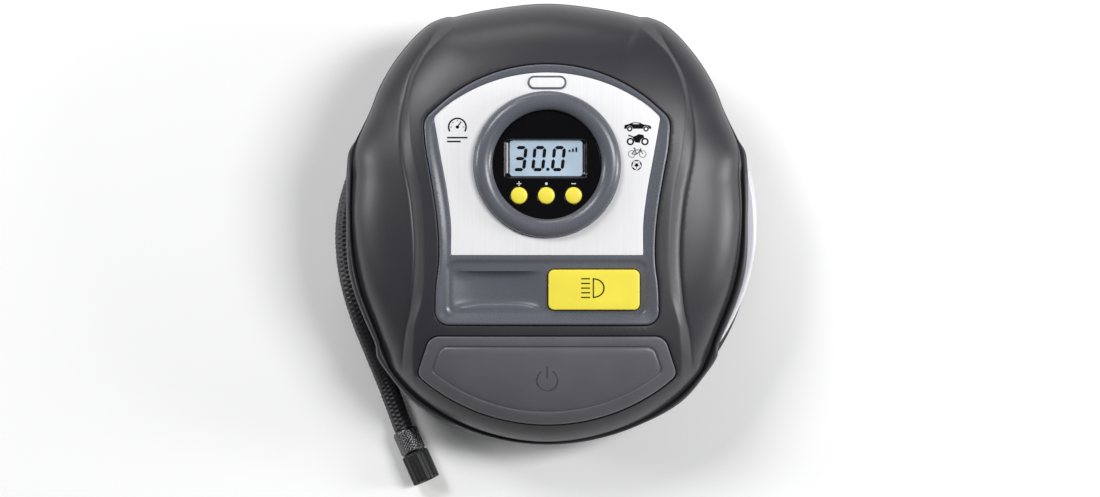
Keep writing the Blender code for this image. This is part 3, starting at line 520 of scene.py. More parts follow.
def build_top_shell(material):
    """Outer skin with both openings, rolled lip, skirt and inner skin, as one closed mesh."""
    shell = Solid()
    azimuths = turn(RIM_COUNT)
    edge_radius = half_turn_value(DOME_EDGE, azimuths)
    field = polar(azimuths, edge_radius * FIELD_SHARE)
    openings = [grown(FRAME_OUTLINE, 0.35), grown(POWER_OUTLINE, 0.35)]
    fillet = 0.45

    outer_rows = [shell.loop(skin_place(field))]
    inner_rows = [shell.loop(inner_skin_place(field))]
    flats = [field]
    for hole in openings:
        wide = grown(hole, fillet)
        height = shell_height(wide)
        rings = [on_face(raised(wide, height))]
        for angle in (30.0, 60.0, 90.0):
            turned_in = math.radians(angle)
            flat = grown(hole, fillet * (1.0 - math.sin(turned_in)))
            rings.append(on_face(raised(flat, height - fillet * (1.0 - math.cos(turned_in)))))
        rings.append(on_face(raised(hole, height - SKIN + 0.4)))
        rings.append(inner_skin_place(wide))
        loops = shell.bands(rings)
        outer_rows.append(loops[0])
        inner_rows.append(loops[-1])
        flats.append(wide)
    shell.fill(outer_rows, flats, skin_place, FIELD_SPACING, strip_lines())
    shell.fill(inner_rows, flats, inner_skin_place, 3.0)

    cosine = math.sqrt(1.0 - FIELD_SHARE ** 4.5)
    steps = 15
    rows = []
    for step in range(1, steps + 1):
        share = (1.0 - (cosine * (1.0 - step / steps)) ** 2) ** (1.0 / 4.5)
        rows.append(skin_place(polar(azimuths, edge_radius * share)))
    edge = rows[-1]
    wall = np.hypot(edge[:, 0], edge[:, 1])
    out = edge[:, :2] / wall[:, None]
    overhang = half_turn_value(LIP_EDGE, azimuths) - edge_radius
    strength = np.minimum(overhang / 4.0, 1.0)
    groove = strength * lip_groove(azimuths)

    def around(radius, height):
        return np.column_stack((out * radius[:, None], height))

    for across, plain, rolled in LIP_PROFILE:
        height = edge[:, 2] + plain * strength + rolled * groove
        rows.append(around(wall + overhang * across, height))
    under = np.maximum(edge[:, 2] - LIP_THICKNESS, 30.4)
    rows.append(around(wall + overhang * 0.97, under + 0.25))
    rows.append(around(wall + overhang * 0.85, under))
    rows.append(around(wall + overhang * 0.25, np.maximum(under - 0.6, 30.1)))
    rows.append(around(wall, np.maximum(edge[:, 2] - LIP_THICKNESS - 1.0, 29.9)))
    rows.append(around(wall, np.full(RIM_COUNT, SEAM_HEIGHT + 0.3)))
    rows.append(around(wall - 0.3, np.full(RIM_COUNT, SEAM_HEIGHT)))
    rows.append(around(np.full(RIM_COUNT, SEAM_RADIUS), np.full(RIM_COUNT, SEAM_HEIGHT)))
    rows.append(around(np.full(RIM_COUNT, SEAM_RADIUS), np.full(RIM_COUNT, SEAM_TOP)))
    rows.append(around(wall - SKIN, np.full(RIM_COUNT, SEAM_TOP + 0.5)))
    for share in (0.994, 0.985, 0.97):
        radius = (edge_radius - SKIN) * share
        flat = polar(azimuths, radius)
        height = shell_height(polar(azimuths, edge_radius * share)) - SKIN - 0.2
        rows.append(on_face(raised(flat, height)))
    loops = shell.bands(rows)
    shell.band(outer_rows[0], loops[0])
    shell.band(loops[-1], inner_rows[0])
    piece = add_mesh("shell", shell, material, sharp=50.0)
    stand_for(piece, "top_shell")


# Section of the lip from the dome outwards: (share of the overhang, plain height, rolled height).
LIP_PROFILE = (
    (0.05, -0.05, 0.0), (0.10, -0.08, 0.05), (0.15, -0.08, -0.05), (0.20, -0.04, -0.4), (0.25, 0.0, -0.65),
    (0.30, 0.06, -0.45), (0.36, 0.12, 0.1), (0.44, 0.2, 0.55), (0.54, 0.3, 0.85), (0.64, 0.35, 0.95),
    (0.74, 0.35, 0.85), (0.84, 0.2, 0.55), (0.93, -0.1, 0.15), (0.98, -0.5, -0.1), (1.0, -1.1, 0.0),
)


def lip_groove(azimuth):
    """How deep the groove beside the rolled lip is, from 0 to 1."""
    folded = np.degrees(np.arcsin(np.sin(np.radians(azimuth))))
    return smoothstep(20.0, 12.0, folded) * (1.0 - 0.5 * smoothstep(-50.0, -66.0, folded))


# ---------------------------------------------------------------- pieces of the face

def bent(flat, height):
    """Flat places raised over the spine's own curvature."""
    return on_face(raised(flat, spine_height(flat) + height))


def level(flat, height):
    return on_face(raised(flat, height))


def edge_rows(flat, side, top, radius, place, steps=5):
    """Rows of a rounded edge from its wall up to its top. Side is -1 on a rim and 1 round a hole."""
    rows = []
    for step in range(steps + 1):
        angle = math.pi / 2 * step / steps
        offset = side * radius * (1.0 - math.cos(angle))
        rows.append(place(grown(flat, offset), top - radius * (1.0 - math.sin(angle))))
    return rows


def panel(rim, holes, top, bottom, radius, place, spacing=2.5, hole_radius=None):
    """A plate with rounded upper edges and through holes."""
    solid = Solid()
    hole_radius = radius if hole_radius is None else hole_radius
    tops, bottoms, top_flats, bottom_flats = [], [], [], []
    for index, flat in enumerate([rim, *holes]):
        side = -1.0 if index == 0 else 1.0
        size = radius if index == 0 else hole_radius
        loops = solid.bands([place(flat, bottom), *edge_rows(flat, side, top, size, place)])
        bottoms.append(loops[0])
        tops.append(loops[-1])
        bottom_flats.append(flat)
        top_flats.append(grown(flat, side * size))
    solid.fill(tops, top_flats, lambda flat: place(flat, top), spacing)
    solid.fill(bottoms, bottom_flats, lambda flat: place(flat, bottom), 6.0)
    return solid


def print_shapes(solid, shapes, low, high, place):
    """Thin prisms for printed marks. A shape is its outline, or its outline and one hole."""
    for shape in shapes:
        flats = shape if isinstance(shape, tuple) else (shape,)
        lows = [solid.loop(place(flat, low)) for flat in flats]
        highs = [solid.loop(place(flat, high)) for flat in flats]
        for under, over in zip(lows, highs):
            solid.band(under, over)
        solid.fill(lows, flats, lambda flat: place(flat, low), 30.0)
        solid.fill(highs, flats, lambda flat: place(flat, high), 30.0)
    return solid


def line_shape(start, end, width):
    """A straight printed line with square ends."""
    start, end = np.array(start, float), np.array(end, float)
    along = unit(end - start) * width / 2
    across = np.array((-along[1], along[0]))
    return np.array((start - across, end - across, end + across, start + across))


def ring_shape(middle, outer, inner, count=48):
    return circle(outer, middle, count), circle(inner, middle, count)


def arc_shape(middle, outer, inner, start, end, steps=28):
    azimuths = np.linspace(start, end, steps)
    return np.concatenate((polar(azimuths, outer), polar(azimuths[::-1], inner))) + np.array(middle)


FIELD = ((-44.0, -40.5), (44.0, -16.7))
FRAME_LEVEL = -0.1
FIELD_FLOOR = -0.9
BORDER_RISE = 0.85
BORDER_SLOPE = (1.0, 3.9)
RECESS = ((-41.8, -37.5), (-2.0, -21.1))
RECESS_DEPTH = 3.2
LIGHT_BUTTON = ((0.6, -38.2), (40.7, -20.5))
LIGHT_MIDDLE = np.array((20.65, -29.35))
FRAME_BOTTOM = -4.4


def recess_place(flat):
    """The finger scoop: a bowl with steep ends and a rounder front and back."""
    flat = np.asarray(flat, float)
    middle = np.mean(RECESS, axis=0)
    half = (np.array(RECESS[1]) - np.array(RECESS[0])) / 2
    across, upward = np.clip(np.abs((flat - middle) / half), 0.0, 1.0).T
    bowl = (1.0 - across ** 2.4) * (1.0 - upward ** 6.0)
    return bent(flat, FIELD_FLOOR - RECESS_DEPTH * bowl)


def edge_distance(flat, loop):
    """Distance of each place from a closed outline."""
    flat = np.asarray(flat, float)[:, None, :]
    start = loop[None, :, :]
    run = np.roll(loop, -1, axis=0)[None, :, :] - start
    share = np.clip(((flat - start) * run).sum(axis=2) / (run ** 2).sum(axis=2), 0.0, 1.0)
    return np.linalg.norm(flat - start - run * share[:, :, None], axis=2).min(axis=1)


def border_place(flat, height):
    """Height over the frame's border, which slopes down from its raised outer edge towards the plate."""
    start, end = BORDER_SLOPE
    slope = chamfer((edge_distance(flat, FRAME_OUTLINE) - start) / (end - start))
    return bent(flat, height + BORDER_RISE - (BORDER_RISE - FRAME_LEVEL) * slope)


def build_control_frame(material):
    solid = Solid()
    rim = solid.bands([bent(FRAME_OUTLINE, FRAME_BOTTOM),
                       *edge_rows(FRAME_OUTLINE, -1.0, 0.0, 0.9, border_place, 7)])
    plate_hole = grown(PLATE_OUTLINE, 0.15)
    opening = solid.bands([bent(plate_hole, FRAME_BOTTOM),
                           *edge_rows(plate_hole, 1.0, 0.0, 0.3, border_place, 3)])
    light_hole = grown(box_outline(*LIGHT_BUTTON, 2.5), 0.4)
    light = solid.bands([bent(light_hole, FRAME_BOTTOM),
                         *edge_rows(light_hole, 1.0, FIELD_FLOOR, 0.3, bent, 3)])
    field = box_outline(*FIELD, 4.0)
    drop = FIELD_FLOOR - FRAME_LEVEL
    slope = []
    for outward, share in ((0.9, 0.0), (0.5, 0.08), (0.1, 0.35), (-0.5, 0.75), (-1.0, 0.95), (-1.5, 1.0)):
        slope.append(border_place(grown(field, outward), drop * share))
    walls = solid.bands(slope)
    recess = box_outline(*RECESS, 2.5, 0.7)
    scoop = solid.loop(recess_place(recess))
    solid.fill([rim[-1], opening[-1], walls[0]],
               [grown(FRAME_OUTLINE, -0.9), grown(plate_hole, 0.3), grown(field, 0.9)],
               lambda flat: border_place(flat, 0.0), 0.9)
    solid.fill([walls[-1], scoop, light[-1]], [grown(field, -1.5), recess, grown(light_hole, 0.3)],
               lambda flat: bent(flat, FIELD_FLOOR), 2.0)
    solid.fill([scoop], [recess], recess_place, 0.8)
    solid.fill([rim[0], opening[0], light[0]], [FRAME_OUTLINE, plate_hole, light_hole],
               lambda flat: bent(flat, FRAME_BOTTOM), 6.0)
    stand_for(add_mesh("control_panel_frame", solid, material), "control_frame")


def build_silver_plate(material):
    ring_hole = circle(RING_OUTER + 0.15, RING_CENTRE, 160)
    solid = panel(PLATE_OUTLINE, [ring_hole], PLATE_TOP, -1.1, 0.25, bent, 2.5, 0.1)
    stand_for(add_mesh("brushed_plate", solid, material), "silver_plate")


PLATE_TOP = 0.05
LCD_CUT = ((-18.4, 19.9), (17.4, 37.0))
LCD_LIT = ((-16.5, 20.7), (15.7, 36.4))
LCD_BODY = ((-19.5, 18.6), (18.5, 38.2))
LCD_TOP = -1.25
WINDOW_TOP = 0.8


def build_display(paints):
    middle = ((RING_OUTER + RING_INNER) / 2, 1.2)
    half = (RING_OUTER - RING_INNER) / 2
    crown = [(middle[0] + half * math.cos(angle), middle[1] + 3.3 * math.sin(angle))
             for angle in np.radians(range(180, -1, -9))]
    profile = [(RING_INNER, -1.1), (RING_OUTER, -1.1)] + crown[::-1]
    ring = turned(profile, 180, on_face, RING_CENTRE)
    stand_for(add_mesh("display_bezel", ring, paints["frame_grey"]), "display_ring")

    window = Solid()
    radius = RING_INNER - GAP
    bottom = -1.2
    holes = [circle(BUTTON_RADIUS + 0.3, (u, BUTTON_ROW_V), 56) for u in BUTTON_PLACES.values()]
    tops, bottoms, top_flats, bottom_flats = [], [], [], []
    for index, flat in enumerate([circle(radius, RING_CENTRE, 160), *holes]):
        side = -1.0 if index == 0 else 1.0
        loops = window.bands([level(flat, bottom), *edge_rows(flat, side, WINDOW_TOP, 0.25, level, 4)])
        bottoms.append(loops[0])
        tops.append(loops[-1])
        bottom_flats.append(flat)
        top_flats.append(grown(flat, side * 0.25))
    cut = box_outline(*LCD_CUT, 1.6, 0.6)
    low, high = np.array(LCD_LIT)
    lit = low + (cut - np.array(LCD_CUT[0])) * (high - low) / (np.array(LCD_CUT[1]) - np.array(LCD_CUT[0]))
    bezel = [level(lit, bottom), level(lit, -0.95), level(lit + (cut - lit) * 0.12, -0.85),
             level(lit + (cut - lit) * 0.9, 0.1), level(cut, 0.45)]
    rim_rows = window.bands(bezel + [level(grown(cut, offset), height) for offset, height in (
        (0.15, 0.62), (0.4, 0.72), (0.8, 0.77), (1.3, 0.79), (1.8, WINDOW_TOP))])
    tops.append(rim_rows[-1])
    top_flats.append(grown(cut, 1.8))
    bottoms.append(rim_rows[0])
    bottom_flats.append(lit)
    window.fill(tops, top_flats, lambda flat: level(flat, WINDOW_TOP), 3.0)
    window.fill(bottoms, bottom_flats, lambda flat: level(flat, bottom), 6.0)
    stand_for(add_mesh("display_glass", window, paints["window_black"]), "display_window")

    body = panel(box_outline(*LCD_BODY, 0.5), [], LCD_TOP, -5.5, 0.15, level, 4.0)
    stand_for(add_mesh("lcd_screen", body, paints["lcd_blue"]), "lcd_module")

    shapes = []
    for u, shown in ((-11.9, "abcdg"), (-3.6, "abcdef"), (5.0, "abcdef")):
        shapes += digit_shapes((u, 28.4), shown)
    shapes.append(circle(0.75, (0.35, 23.7), 24))
    for bar in range(3):
        u = 9.9 + 1.5 * bar
        shapes.append(line_shape((u, 31.3), (u, 32.3 + 0.5 * bar), 0.8))
    digits = print_shapes(Solid(), shapes, LCD_TOP - 0.02, LCD_TOP + 0.06, level)
    add_mesh("lcd_digits", digits, paints["ink"])

    marks = [line_shape((-13.3, 17.3), (-11.3, 17.3), 0.42), line_shape((-12.3, 16.3), (-12.3, 18.3), 0.42),
             circle(0.6, (-0.3, 17.3), 24), line_shape((10.7, 17.3), (12.7, 17.3), 0.42)]
    labels = print_shapes(Solid(), marks, WINDOW_TOP - 0.02, WINDOW_TOP + 0.05, level)
    add_mesh("button_marks", labels, paints["lens_white"])


def digit_shapes(middle, shown):
    """Slanted seven-segment digit: the lit segments as long hexagons."""
    wide, tall, thick, gap = 4.3, 9.7, 1.45, 0.2
    right, top = wide / 2, tall / 2
    ends = {
        "a": ((-right, top), (right, top)), "g": ((-right, 0.0), (right, 0.0)),
        "d": ((-right, -top), (right, -top)),
        "f": ((-right, 0.0), (-right, top)), "b": ((right, 0.0), (right, top)),
        "e": ((-right, -top), (-right, 0.0)), "c": ((right, -top), (right, 0.0)),
    }
    shapes = []
    for name in shown:
        start, end = (np.array(point) for point in ends[name])
        along = unit(end - start)
        across = np.array((-along[1], along[0])) * thick / 2
        start, end = start + along * gap, end - along * gap
        nose = along * thick / 2
        bar = np.array((start, start + nose - across, end - nose - across, end, end - nose + across,
                        start + nose + across))
        bar[:, 0] += bar[:, 1] * math.tan(math.radians(6.0))
        shapes.append(bar + np.array(middle))
    return shapes


def build_round_buttons(material):
    profile = [(0.0, -3.2), (1.5, -3.2), (1.5, -2.5), (4.5, -2.5), (4.5, -1.6), (BUTTON_RADIUS, -1.6)]
    profile += arc_profile((BUTTON_RADIUS - 0.6, 1.25), 0.6, 0.0, 75.0, 6)
    profile += [(2.4, 1.98), (1.6, 2.06), (0.8, 2.1), (0.0, 2.12)]
    for name, u in BUTTON_PLACES.items():
        cap = turned(profile, 64, on_face, (u, BUTTON_ROW_V))
        key = name.replace("button_", "") + "_key"
        stand_for(add_mesh(name.replace("button", "cap"), cap, material, key), name)


def build_light_button(paints):
    rim = box_outline(*LIGHT_BUTTON, 2.5, 0.6)
    lift = float(spine_height([LIGHT_MIDDLE])[0])

    def place(flat, height):
        return level(flat, height + lift)

    cap = panel(rim, [], 1.2, -4.0, 0.55, place, 4.0)
    cap = add_mesh("light_cap", cap, paints["button_yellow"], "light_key")
    stand_for(cap, "light_button")

    lamp = arc_shape((20.6, -28.6), 4.3, 3.75, -90.0, 90.0)
    lamp[:, 0] = 20.6 + (lamp[:, 0] - 20.6) * 1.1
    shapes = [lamp, line_shape((20.35, -33.0), (20.35, -24.2), 0.5)]
    shapes += [line_shape((15.0, -24.5 - 2.05 * bar), (18.9, -24.5 - 2.05 * bar), 0.55) for bar in range(5)]
    icon = print_shapes(Solid(), shapes, 1.18, 1.25, place)
    add_mesh("light_icon", icon, paints["ink"], "light_key")


def resampled(loop, count):
    """A closed outline with its points spread evenly."""
    closed = np.vstack((loop, loop[:1]))
    run = np.concatenate(([0.0], np.cumsum(np.linalg.norm(np.diff(closed, axis=0), axis=1))))
    marks = np.linspace(0.0, run[-1], count, endpoint=False)
    return np.column_stack([np.interp(marks, run, closed[:, axis]) for axis in range(2)])


def power_field(inset):
    """The groove round the power button's field, further in at the sides and bottom than at the top."""
    return symmetric(power_corners(inset - 1.2, inset, inset, 4.5), 0.45)


def build_power_button(material):
    solid = Solid()
    top = 0.2
    middle = (0.0, -69.5)
    rim = solid.bands([bent(POWER_OUTLINE, -3.0), *edge_rows(POWER_OUTLINE, -1.0, top, 0.8, bent)])
    outer, inner = (resampled(power_field(inset), 520) for inset in (5.0, 7.0))
    groove = ((0.0, top), (0.15, top - 0.1), (0.35, top - 0.6), (0.55, top - 0.7), (0.78, top - 0.4),
              (1.0, top - 0.25))
    steps = solid.bands([bent(outer + (inner - outer) * share, height) for share, height in groove])
    solid.fill([rim[-1], steps[0]], [grown(POWER_OUTLINE, -0.8), outer], lambda flat: bent(flat, top), 2.0)
    signs = [arc_shape(middle, 4.95, 4.25, 122.0, 418.0, 44),
             line_shape((0.0, middle[1] + 1.0), (0.0, middle[1] + 6.2), 0.75)]
    floors, holes = [], []
    for sign in signs:
        rows = solid.bands([bent(sign, top - 0.25), bent(sign, top - 0.6)])
        holes.append(rows[0])
        floors.append(rows[1])
    solid.fill([steps[-1], *holes], [inner, *signs], lambda flat: bent(flat, top - 0.25), 2.0)
    for floor, sign in zip(floors, signs):
        solid.fill([floor], [sign], lambda flat: bent(flat, top - 0.6), 30.0)
    solid.fill([rim[0]], [POWER_OUTLINE], lambda flat: bent(flat, -3.0), 5.0)
    button = add_mesh("power_panel", solid, material, "power_key", sharp=28.0)
    stand_for(button, "power_button")


# ---------------------------------------------------------------- printed marks on the plate

def car_shapes(middle):
    wheels = (-3.5, 3.7)
    arch = 1.3
    points = []
    for x in wheels:
        points += [(x + arch * math.cos(math.radians(a)), -0.95 + arch * math.sin(math.radians(a)))
                   for a in range(180, -1, -20)]
    roof = [(6.0, -0.95), (5.9, 0.1), (4.6, 0.7), (2.6, 0.95), (1.0, 1.7), (-0.8, 1.95), (-2.4, 1.75),
            (-4.2, 1.0), (-5.7, 0.7), (-6.0, -0.95)]
    glass = np.array(((-2.4, 1.1), (-1.8, 1.45), (-0.7, 1.6), (0.4, 1.4), (1.0, 1.1)))
    shapes = [(np.array(points + roof) + middle, glass + middle)]
    shapes += [ring_shape(middle + (x, -1.0), 1.2, 0.6, 28) for x in wheels]
    return shapes


def motorcycle_shapes(middle):
    body = np.array(((-1.9, 0.3), (-1.0, -1.4), (1.0, -1.5), (1.5, -0.2), (2.9, 0.9), (2.7, 1.9), (1.6, 2.1),
                     (0.6, 2.3), (-0.6, 1.6), (-1.8, 1.2), (-3.9, 2.1), (-4.1, 1.5), (-2.3, 0.9)))
    return [body + middle, ring_shape(middle + (-3.1, -1.0), 1.65, 0.95, 32),
            ring_shape(middle + (3.3, -1.0), 1.65, 0.95, 32),
            line_shape(middle + (2.3, 1.5), middle + (2.9, 0.4), 0.5)]


def bicycle_shapes(middle):
    rear, front, crank = np.array((-2.4, -0.6)), np.array((2.4, -0.6)), np.array((-0.2, -0.7))
    seat, head = np.array((-1.0, 1.2)), np.array((1.5, 1.2))
    lines = ((rear, seat), (rear, crank), (crank, seat), (crank, head), (seat, head), (front, head),
             (seat, seat + (-0.2, 0.8)), (seat + (-0.8, 0.8), seat + (0.3, 0.8)), (head, head + (0.1, 0.8)))
    shapes = [line_shape(middle + start, middle + end, 0.34) for start, end in lines]
    return shapes + [ring_shape(middle + rear, 1.6, 1.38, 32), ring_shape(middle + front, 1.6, 1.38, 32)]


def ball_shapes(middle):
    shapes = [ring_shape(middle, 2.3, 2.08, 40), polar(turn(5, 90.0), 0.85) + middle]
    for azimuth in turn(5, 90.0):
        patch = np.array(((0.5, -0.45), (0.5, 0.45), (0.0, 0.85), (0.0, -0.85)))
        shapes.append(patch @ rotation(azimuth) + polar(azimuth, 1.72) + middle)
        between = azimuth + 36.0
        shapes.append(line_shape(middle + polar(between, 0.7), middle + polar(between, 1.5), 0.2))
    return shapes


def rotation(azimuth):
    angle = math.radians(azimuth)
    return np.array(((math.cos(angle), math.sin(angle)), (-math.sin(angle), math.cos(angle))))


def gauge_shapes(middle):
    """A plain pressure dial with a needle."""
    shapes = [arc_shape(middle, 4.2, 3.5, -30.0, 210.0), circle(0.75, middle, 20),
              line_shape(middle, middle + polar(55.0, 2.9), 0.5)]
    shapes += [line_shape(middle + polar(azimuth, 2.5), middle + polar(azimuth, 3.1), 0.35)
               for azimuth in (0.0, 90.0, 135.0, 180.0)]
    return shapes


def build_print(paints):
    top = PLATE_TOP
    shapes = [*car_shapes(np.array((39.9, 42.5))), *motorcycle_shapes(np.array((39.8, 36.9))),
              *bicycle_shapes(np.array((39.7, 31.0))), *ball_shapes(np.array((39.4, 25.5))),
              *gauge_shapes(np.array((-39.5, 42.3)))]
    shapes += [line_shape((-44.0, 37.6 - 1.7 * row), (-44.0 + length, 37.6 - 1.7 * row), 0.7)
               for row, length in enumerate((9.0, 6.0))]
    marks = print_shapes(Solid(), shapes, top - 0.02, top + 0.05, bent)
    add_mesh("plate_print", marks, paints["ink"])

    pill = box_outline((-8.6, 58.9), (8.6, 65.0), 3.0, 0.5)
    badge = panel(pill, [], top + 0.5, top - 0.05, 0.4, bent, 2.0)
    add_mesh("badge", badge, paints["frame_grey"])
    rim = panel(grown(pill, -0.9), [], top + 0.62, top + 0.4, 0.15, bent, 2.0)
    add_mesh("badge_field", rim, paints["brushed_silver"])


# ---------------------------------------------------------------- light and base

def light_section(corner, hollow):
    """The lens's section under one place of the dome's edge, or None where the wing is too low for it."""
    wall = math.hypot(corner[0], corner[1]) + 0.7
    heading = math.degrees(math.atan2(corner[1], corner[0]))
    low = SEAM_HEIGHT + 0.7
    high = corner[2] - LIP_THICKNESS - 1.5
    if high - low <= 7.0:
        return None
    outer, skin = LENS_RADIUS, LENS_SKIN
    profile = [(wall, low), (outer - 1.4, low)]
    profile += arc_profile((outer - 1.4, low + 1.4), 1.4, -90.0, 0.0, 6)[1:]
    profile += arc_profile((outer - 1.8, high - 1.8), 1.8, 0.0, 90.0, 8)
    profile += [(wall, high), (wall, high - skin)]
    cavity = [(outer - 2.2, high - skin), (outer - skin, high - skin - 1.2),
              (outer - skin, low + skin + 1.0), (outer - skin - 1.0, low + skin)]
    profile += cavity if hollow else [(wall, height) for _, height in cavity]
    profile.append((wall, low + skin))
    return [(*polar(heading, radius), height) for radius, height in profile]


def build_light(material):
    """The white lens under the right wing: a long hollow body, closed at both ends and open to the wall."""
    azimuths = np.linspace(-37.0, 15.0, 90)
    edge = skin_place(polar(azimuths, half_turn_value(DOME_EDGE, azimuths)))
    places = [corner for corner in edge if light_section(corner, True) is not None]
    lens = Solid()
    order = [(places[0], False), (places[1], False)]
    order += [(corner, True) for corner in places[1:-1]]
    order += [(places[-2], False), (places[-1], False)]
    rows = [lens.loop(light_section(corner, hollow)) for corner, hollow in order]
    for first, second in zip(rows, rows[1:]):
        lens.band(first, second)
    lens.cap(rows[0])
    lens.cap(rows[-1])
    stand_for(add_mesh("side_light", lens, material), "light_lens")


def base_radius(azimuth):
    radius = half_turn_value(BASE_EDGE, azimuth)
    away = np.abs((azimuth - HOSE_NOTCH_AZIMUTH + 180.0) % 360.0 - 180.0)
    notch = 1.0 - smoothstep(HOSE_NOTCH_HALF_WIDTH * 0.45, HOSE_NOTCH_HALF_WIDTH, away)
    return radius - HOSE_NOTCH_DEPTH * notch


def build_base(material):
    """Lower tray: underside with lead groove and vents, rim, hose channel and inner wall."""
    tray = Solid()
    azimuths = turn(360)
    edge = base_radius(azimuths)
    groove = np.maximum(edge - 3.2, LEAD_GROOVE + 0.7)

    def around(radius, height):
        return raised(polar(azimuths, np.broadcast_to(radius, len(azimuths))), height)

    rows = [around(LEAD_GROOVE - 0.8, TRAY_BOTTOM), around(LEAD_GROOVE - 0.3, TRAY_BOTTOM + 0.5),
            around(LEAD_GROOVE, LEAD_GROOVE_TOP), around(groove, LEAD_GROOVE_TOP),
            around(groove, TRAY_BOTTOM)]
    for step in range(6):
        angle = math.radians(90.0 * step / 5)
        rows.append(around(edge - 1.2 + 1.2 * math.sin(angle), TRAY_BOTTOM + 1.2 - 1.2 * math.cos(angle)))
    for step in range(6):
        angle = math.radians(90.0 * step / 5)
        rows.append(around(edge - 1.0 + 1.0 * math.cos(angle), CHANNEL_FLOOR - 1.0 + 1.0 * math.sin(angle)))
    rows += [around(TRAY_WALL[1], CHANNEL_FLOOR), around(TRAY_WALL[1], TRAY_WALL_TOP),
             around(TRAY_WALL[0], TRAY_WALL_TOP), around(TRAY_WALL[0], TRAY_FLOOR)]
    loops = tray.bands(rows)

    slots = [box_outline((x - 1.5, 6.0), (x + 1.5, 30.0), 1.4) for x in -47.5 + 7.0 * np.arange(6)]
    under_rows, under_flats = [loops[0]], [polar(azimuths, LEAD_GROOVE - 0.8)]
    floor_rows, floor_flats = [loops[-1]], [polar(azimuths, TRAY_WALL[0])]
    for slot in slots:
        walls = tray.bands([raised(grown(slot, 0.3), TRAY_BOTTOM), raised(slot, TRAY_BOTTOM + 0.3),
                            raised(slot, TRAY_FLOOR)])
        under_rows.append(walls[0])
        under_flats.append(grown(slot, 0.3))
        floor_rows.append(walls[-1])
        floor_flats.append(slot)
    for place in SCREW_PLACES:
        walls = tray.bands([raised(circle(radius, place, 40), height) for radius, height in (
            (4.3, TRAY_BOTTOM), (4.0, TRAY_BOTTOM + 0.3), (4.0, 6.0), (1.9, 6.0), (1.9, 9.0), (5.2, 9.0),
            (5.2, TRAY_FLOOR))])
        under_rows.append(walls[0])
        under_flats.append(circle(4.3, place, 40))
        floor_rows.append(walls[-1])
        floor_flats.append(circle(5.2, place, 40))
    tray.fill(under_rows, under_flats, lambda flat: raised(flat, TRAY_BOTTOM), 6.0)
    tray.fill(floor_rows, floor_flats, lambda flat: raised(flat, TRAY_FLOOR), 6.0)
    stand_for(add_mesh("base", tray, material), "base_tray")


# ---------------------------------------------------------------- hose end

def along_end(profile, sides, start, relief=None):
    """A turned body on the hose end's axis from (radius, distance) pairs. relief is added to its radius."""
    side = np.array((-END_DIRECTION[1], END_DIRECTION[0], 0.0))
    upward = np.array((0.0, 0.0, 1.0))
    angles = turn(sides)
    solid = Solid()
    rows = []
    for radius, distance in profile:
        grow = 0.0 if relief is None else relief(angles, radius, distance)
        reach = np.broadcast_to(radius + grow, sides)[:, None]
        ring = start + END_DIRECTION * distance + reach * (
            side * np.cos(np.radians(angles))[:, None] + upward * np.sin(np.radians(angles))[:, None])
        rows.append(solid.loop(ring))
    for low, high in zip(rows, rows[1:]):
        solid.band(low, high)
    return solid, rows


def build_hose_end(paints):
    radius, length = 5.45, FERRULE_LENGTH - GAP
    pitch, diamonds = 1.42, 11

    def knurl(angles, _, distance):
        inside_ends = smoothstep(0.5, 1.1, distance) * smoothstep(length - 0.3, length - 0.9, distance)
        first = np.cos(np.radians(angles * diamonds) + math.pi * distance / pitch)
        second = np.cos(np.radians(angles * diamonds) - math.pi * distance / pitch)
        return inside_ends * 0.34 * np.maximum(np.abs(first), np.abs(second)) ** 2

    distances = np.linspace(0.5, length - 0.4, 96)
    profile = [(4.6, 0.0), (5.2, 0.0), (radius, 0.3)] + [(radius, distance) for distance in distances]
    profile += [(radius, length - 0.2), (5.1, length), (4.6, length)]
    ferrule, rows = along_end(profile, 176, FERRULE_START, knurl)
    ferrule.pole(rows[0], FERRULE_START)
    ferrule.pole(rows[-1], FERRULE_START + END_DIRECTION * length)
    crimp = add_mesh("crimp_ferrule", ferrule, paints["chrome"], sharp=60.0)
    stand_for(crimp, "hose_ferrule")

    start = FERRULE_START + END_DIRECTION * FERRULE_LENGTH
    ribs = 18

    def ribbed(angles, nominal, distance):
        if nominal < 5.5:
            return 0.0
        wave = np.cos(np.radians(angles * ribs))
        return -0.42 * (1.0 - smoothstep(-0.75, 0.1, wave)) * smoothstep(0.0, 0.5, distance)

    end = CONNECTOR_LENGTH
    profile = [(4.9, 4.0), (4.9, end - 0.5), (5.1, end), (5.8, end), (6.1, end - 0.15), (6.22, end - 0.45)]
    profile += [(6.25, end - 0.8 - step * (end - 2.0) / 14) for step in range(15)]
    profile += [(6.2, 0.85), (6.0, 0.4), (5.7, 0.1), (5.4, 0.0)]
    nut, rows = along_end(profile, 288, start, ribbed)
    nut.pole(rows[0], start + END_DIRECTION * 4.0)
    nut.pole(rows[-1], start)
    cap = stand_for(add_mesh("screw_connector", nut, paints["rubber_black"], "connector", 40.0),
                    "valve_connector")

    profile = [(4.5, 4.4), (4.5, end - 0.6), (4.15, end - 0.6)]
    turns = 9
    span = end - 0.6 - 4.6
    for index in range(turns * 4):
        distance = end - 0.7 - span * index / (turns * 4)
        profile.append((4.0 + 0.14 * math.cos(index * math.pi / 2), distance))
    profile.append((3.9, 4.4))
    insert, rows = along_end(profile, 72, start)
    insert.band(rows[-1], rows[0])
    thread = add_mesh("brass_thread", insert, paints["brass"], "connector")
    stand_for(thread, "thread_insert")
    return [crimp, cap, thread]


# ---------------------------------------------------------------- camera, floor and light

